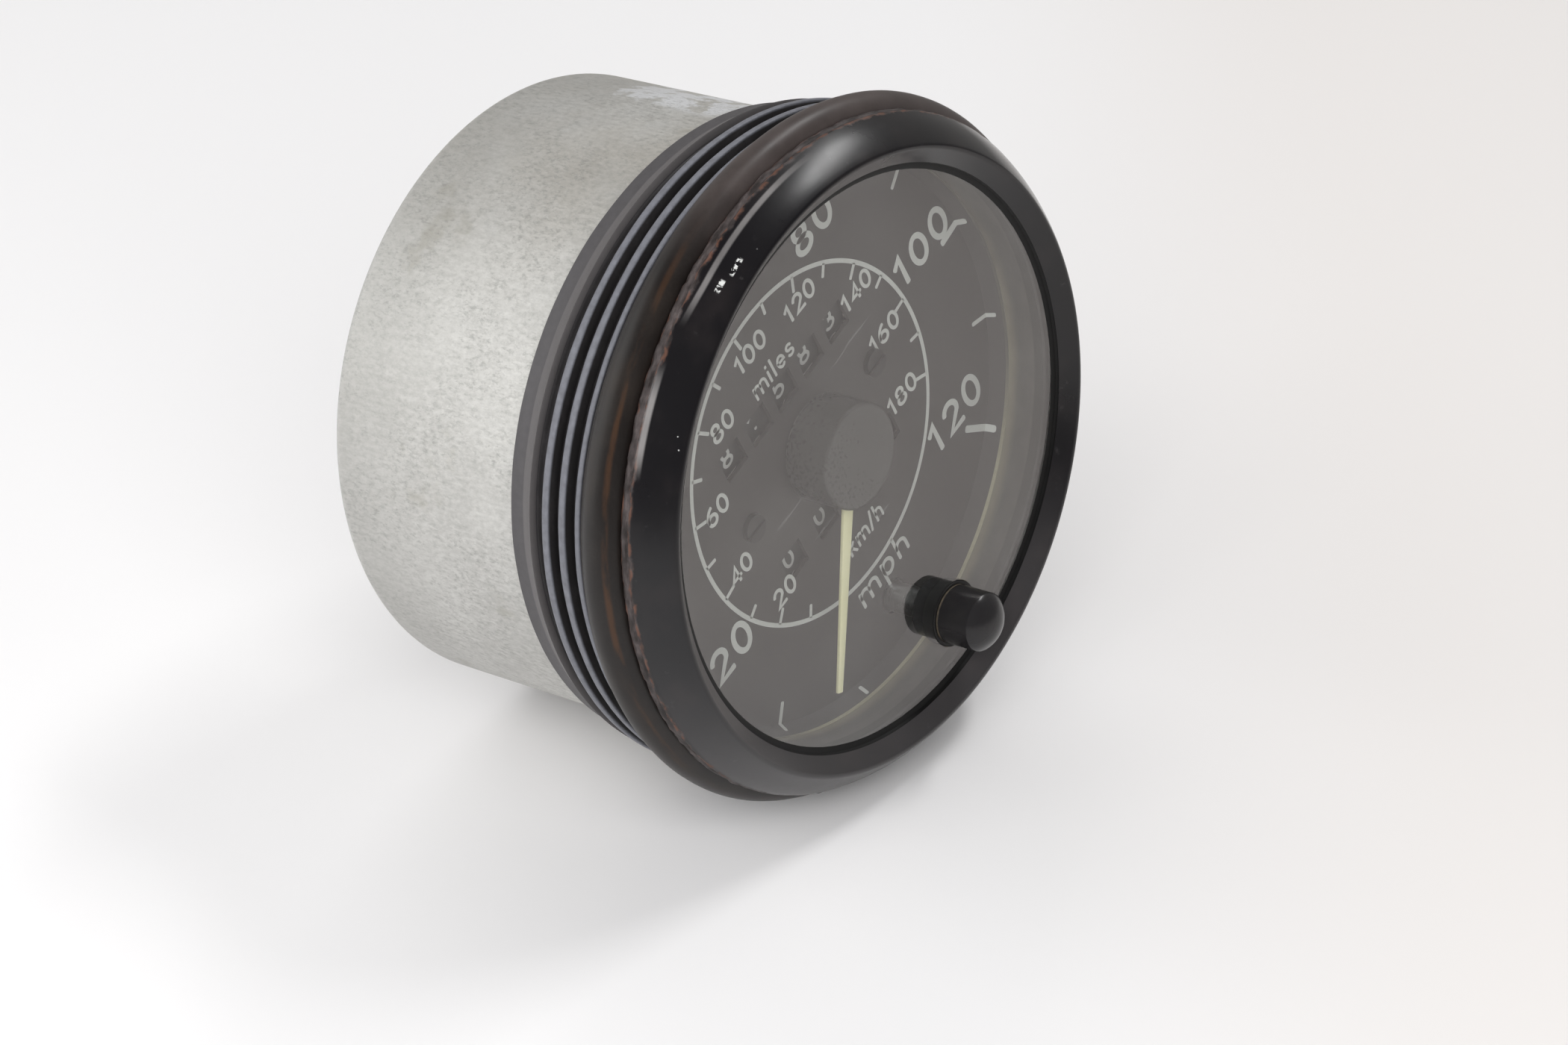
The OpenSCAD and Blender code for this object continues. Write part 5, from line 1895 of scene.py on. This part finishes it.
@dataclass
class Studio:
    """The table, the lights, the world and the camera."""

    focal_px: float = 6000.0
    width_px: float = 2100.0
    sensor: float = 36.0
    right: Sequence[float] = (0.5329, -0.7699, -0.3511)
    forward: Sequence[float] = (0.4165, 0.5998, -0.6832)
    lip: Vector = field(default_factory=lambda: row(0, 0, 15.3))
    lip_seen: Sequence[float] = (0.01635, -0.009, 0.69475)
    table_up: Vector = field(default_factory=lambda: Vector((0.427, -0.113, 0.897)).normalized())
    rests: Sequence[Point2] = ((56.8, 1.5), (56.8, 3.6), (49.5, -56.0), (50.0, -54.5))
    table_r: float = 1.6
    table_dark: Colour = (0.83, 0.82, 0.82)
    table_light: Colour = (0.86, 0.85, 0.85)
    table_warm: Colour = (0.775, 0.74, 0.715)
    pale: Colour = (0.88, 0.865, 0.86)
    sky: Colour = (0.97, 0.98, 1.0)
    soft: float = 0.26
    room_near: Colour = (0.12, 0.112, 0.116)
    room_far: Colour = (0.34, 0.33, 0.32)
    room_left: Colour = (0.68, 0.675, 0.66)
    lamps: Sequence[SoftBox] = (
        SoftBox("left_light", 0.4, -1.0, 0.1, (1.0, 1.0), 4.0),
        SoftBox("top_light", 0.82, 0.48, -0.32, (0.42, 0.1), 3.1),
        SoftBox("front_left_light", 0.55, -0.6, 0.75, (0.9, 0.9), 4.6, True),
        SoftBox("front_light", 0.6, 0.1, 0.95, (0.9, 0.9), 9.2, True),
        SoftBox("back_light", 0.7, -0.3, -0.85, (0.8, 0.8), 3.4, True))

    @property
    def toward(self) -> Vector:
        """The direction along the table towards the camera."""
        back = self.axes()[2]
        return (back - self.table_up * back.dot(self.table_up)).normalized()

    def build(self) -> None:
        """Sets everything up."""
        bpy.context.scene.view_settings.view_transform = "Standard"
        self.camera()
        self.table()
        self.world()
        for box in self.lamps:
            self.hang(box)

    def axes(self) -> tuple[Vector, Vector, Vector]:
        """Gives the directions of the camera.

        Returns:
            Its right, up and back, as exact unit vectors.
        """
        back = -Vector(self.forward).normalized()
        right = Vector(self.right)
        right = (right - back * right.dot(back)).normalized()
        return right, back.cross(right), back

    @staticmethod
    def stand(place: Vector, right: Vector, up: Vector, back: Vector) -> Matrix:
        """Gives the matrix that puts a thing at a place, with its x, y and z axes along three directions."""
        return Matrix.Translation(place) @ Matrix((right, up, back)).transposed().to_4x4()

    def camera(self) -> None:
        """Places the camera where the photograph was taken."""
        right, up, back = self.axes()
        x, y, z = self.lip_seen
        place = self.lip - right * x + up * y + back * z
        data = bpy.data.cameras.new("camera")
        data.sensor_width = self.sensor
        data.lens = self.focal_px * self.sensor / self.width_px
        data.clip_start = 0.01
        data.clip_end = 20.0
        camera = bpy.data.objects.new("camera", data)
        camera.matrix_world = self.stand(place, right, up, back)
        bpy.context.scene.collection.objects.link(camera)
        bpy.context.scene.camera = camera

    def contact(self) -> float:
        """Gives the table's height along its own normal.

        Returns:
            The height of the lowest point of the rings that may rest on it, in metres.
        """
        turns = [step / 2 for step in range(720)]
        places = [row(*clockwise(turn, radius), height) for radius, height in self.rests for turn in turns]
        return min(place.dot(self.table_up) for place in places)

    def table(self) -> None:
        """Adds the pale table under the part, which fades out into the background."""
        up = self.table_up
        across = up.cross(Vector((0, 1, 0))).normalized()
        along = across.cross(up)
        Bench.free_hands()
        bpy.ops.mesh.primitive_circle_add(vertices=96, radius=self.table_r, fill_type="NGON")
        table = Bench.named("table")
        spot = up * self.contact()
        table.data.transform(self.stand(spot, across, -along, up))
        if table.data.polygons[0].normal.dot(up) < 0:
            table.data.flip_normals()
        table.data.materials.append(self.table_finish(spot))

    def table_finish(self, spot: Vector) -> bpy.types.Material:
        """Builds the table's material.

        Args:
            spot: The table's middle.

        Returns:
            A pale, slightly glossy surface, with painted shade towards the right.
        """
        g = Graph("table_white")
        away = g.node("ShaderNodeVectorMath", {"operation": "DISTANCE"}, {0: g.place, 1: tuple(spot)})
        fade = Value(g, away.outputs["Value"]).between(0.55, 1.5)
        edge = g.along(self.toward, spot).between(0.5, 0.9) * g.rays("Glossy")
        cloud = g.noise(3, 2, 0.5)
        colour = g.mix(cloud.between(0.2, 0.8), self.table_dark, self.table_light)
        # Painted shade: the table turns a darker, warmer grey towards the camera's right.
        warm = g.along(self.axes()[0], spot).between(0.02, 0.12)
        colour = g.mix(warm * 0.75, colour, self.table_warm)
        face = g.surface(Base_Color=colour, Roughness=0.28, Specular_IOR_Level=0.3)
        clear = g.node("ShaderNodeBsdfTransparent", {}, {})
        side = Value(g, g.node("ShaderNodeNewGeometry", {}, {}).outputs["Backfacing"])
        behind = side * g.rays("Camera")
        share = fade.math("MAXIMUM", behind).math("MAXIMUM", edge)
        return g.close(g.node("ShaderNodeMixShader", {}, {0: share, 1: face.outputs[0], 2: clear.outputs[0]}))

    def world(self) -> None:
        """Sets a pale background, a room that is dark behind the camera, and soft light from all round."""
        g = Graph("room", True)
        seen = g.rays("Camera").math("MAXIMUM", g.rays("Transmission"))
        pale = g.node("ShaderNodeBackground", {}, {"Color": self.pale, "Strength": 1.0})
        soft = g.node("ShaderNodeBackground", {}, {"Color": self.sky, "Strength": self.soft})
        far = g.along(self.toward).between(0.15, -0.8)
        left = g.along(self.axes()[0]).between(-0.35, -0.9)
        colour = g.mix(left, g.mix(far, self.room_near, self.room_far), self.room_left)
        room = g.node("ShaderNodeBackground", {}, {"Color": colour})
        lit = g.node("ShaderNodeMixShader", {}, {0: g.rays("Glossy"), 1: soft.outputs[0], 2: room.outputs[0]})
        bpy.context.scene.world = g.close(g.node("ShaderNodeMixShader", {}, {
            0: seen, 1: lit.outputs[0], 2: pale.outputs[0]}))

    def hang(self, box: SoftBox) -> None:
        """Hangs a lamp that faces the part, its first side lying along the camera's line over the table.

        Args:
            box: The lamp.
        """
        data = bpy.data.lights.new(box.name, "AREA")
        data.shape = "RECTANGLE"
        data.size, data.size_y = box.size
        data.energy = box.power
        lamp = bpy.data.objects.new(box.name, data)
        place = self.table_up * box.up + self.axes()[0] * box.right + self.toward * box.toward
        back = place.normalized()
        side = (self.toward - back * self.toward.dot(back)).normalized()
        lamp.matrix_world = self.stand(place, side, back.cross(side), back)
        lamp.visible_glossy = not box.hidden
        bpy.context.scene.collection.objects.link(lamp)


def main() -> None:
    """Builds the part's looks and the studio."""
    logging.basicConfig(level=logging.INFO, format="%(message)s")
    shell, front = Shell(), Front()
    shell.build()
    front.build()
    Markings().build()
    Counter("odometer", "odometer", front.odo_x, front.row_y, "81583", 1.0).build()
    Counter("trip", "trip", front.trip_x, -front.row_y, "0000", -1.0).build()
    Pointer().build()
    Knob().build()
    Rear().build()
    dress_nodes()
    Studio().build()


if __name__ == "__main__":
    main()
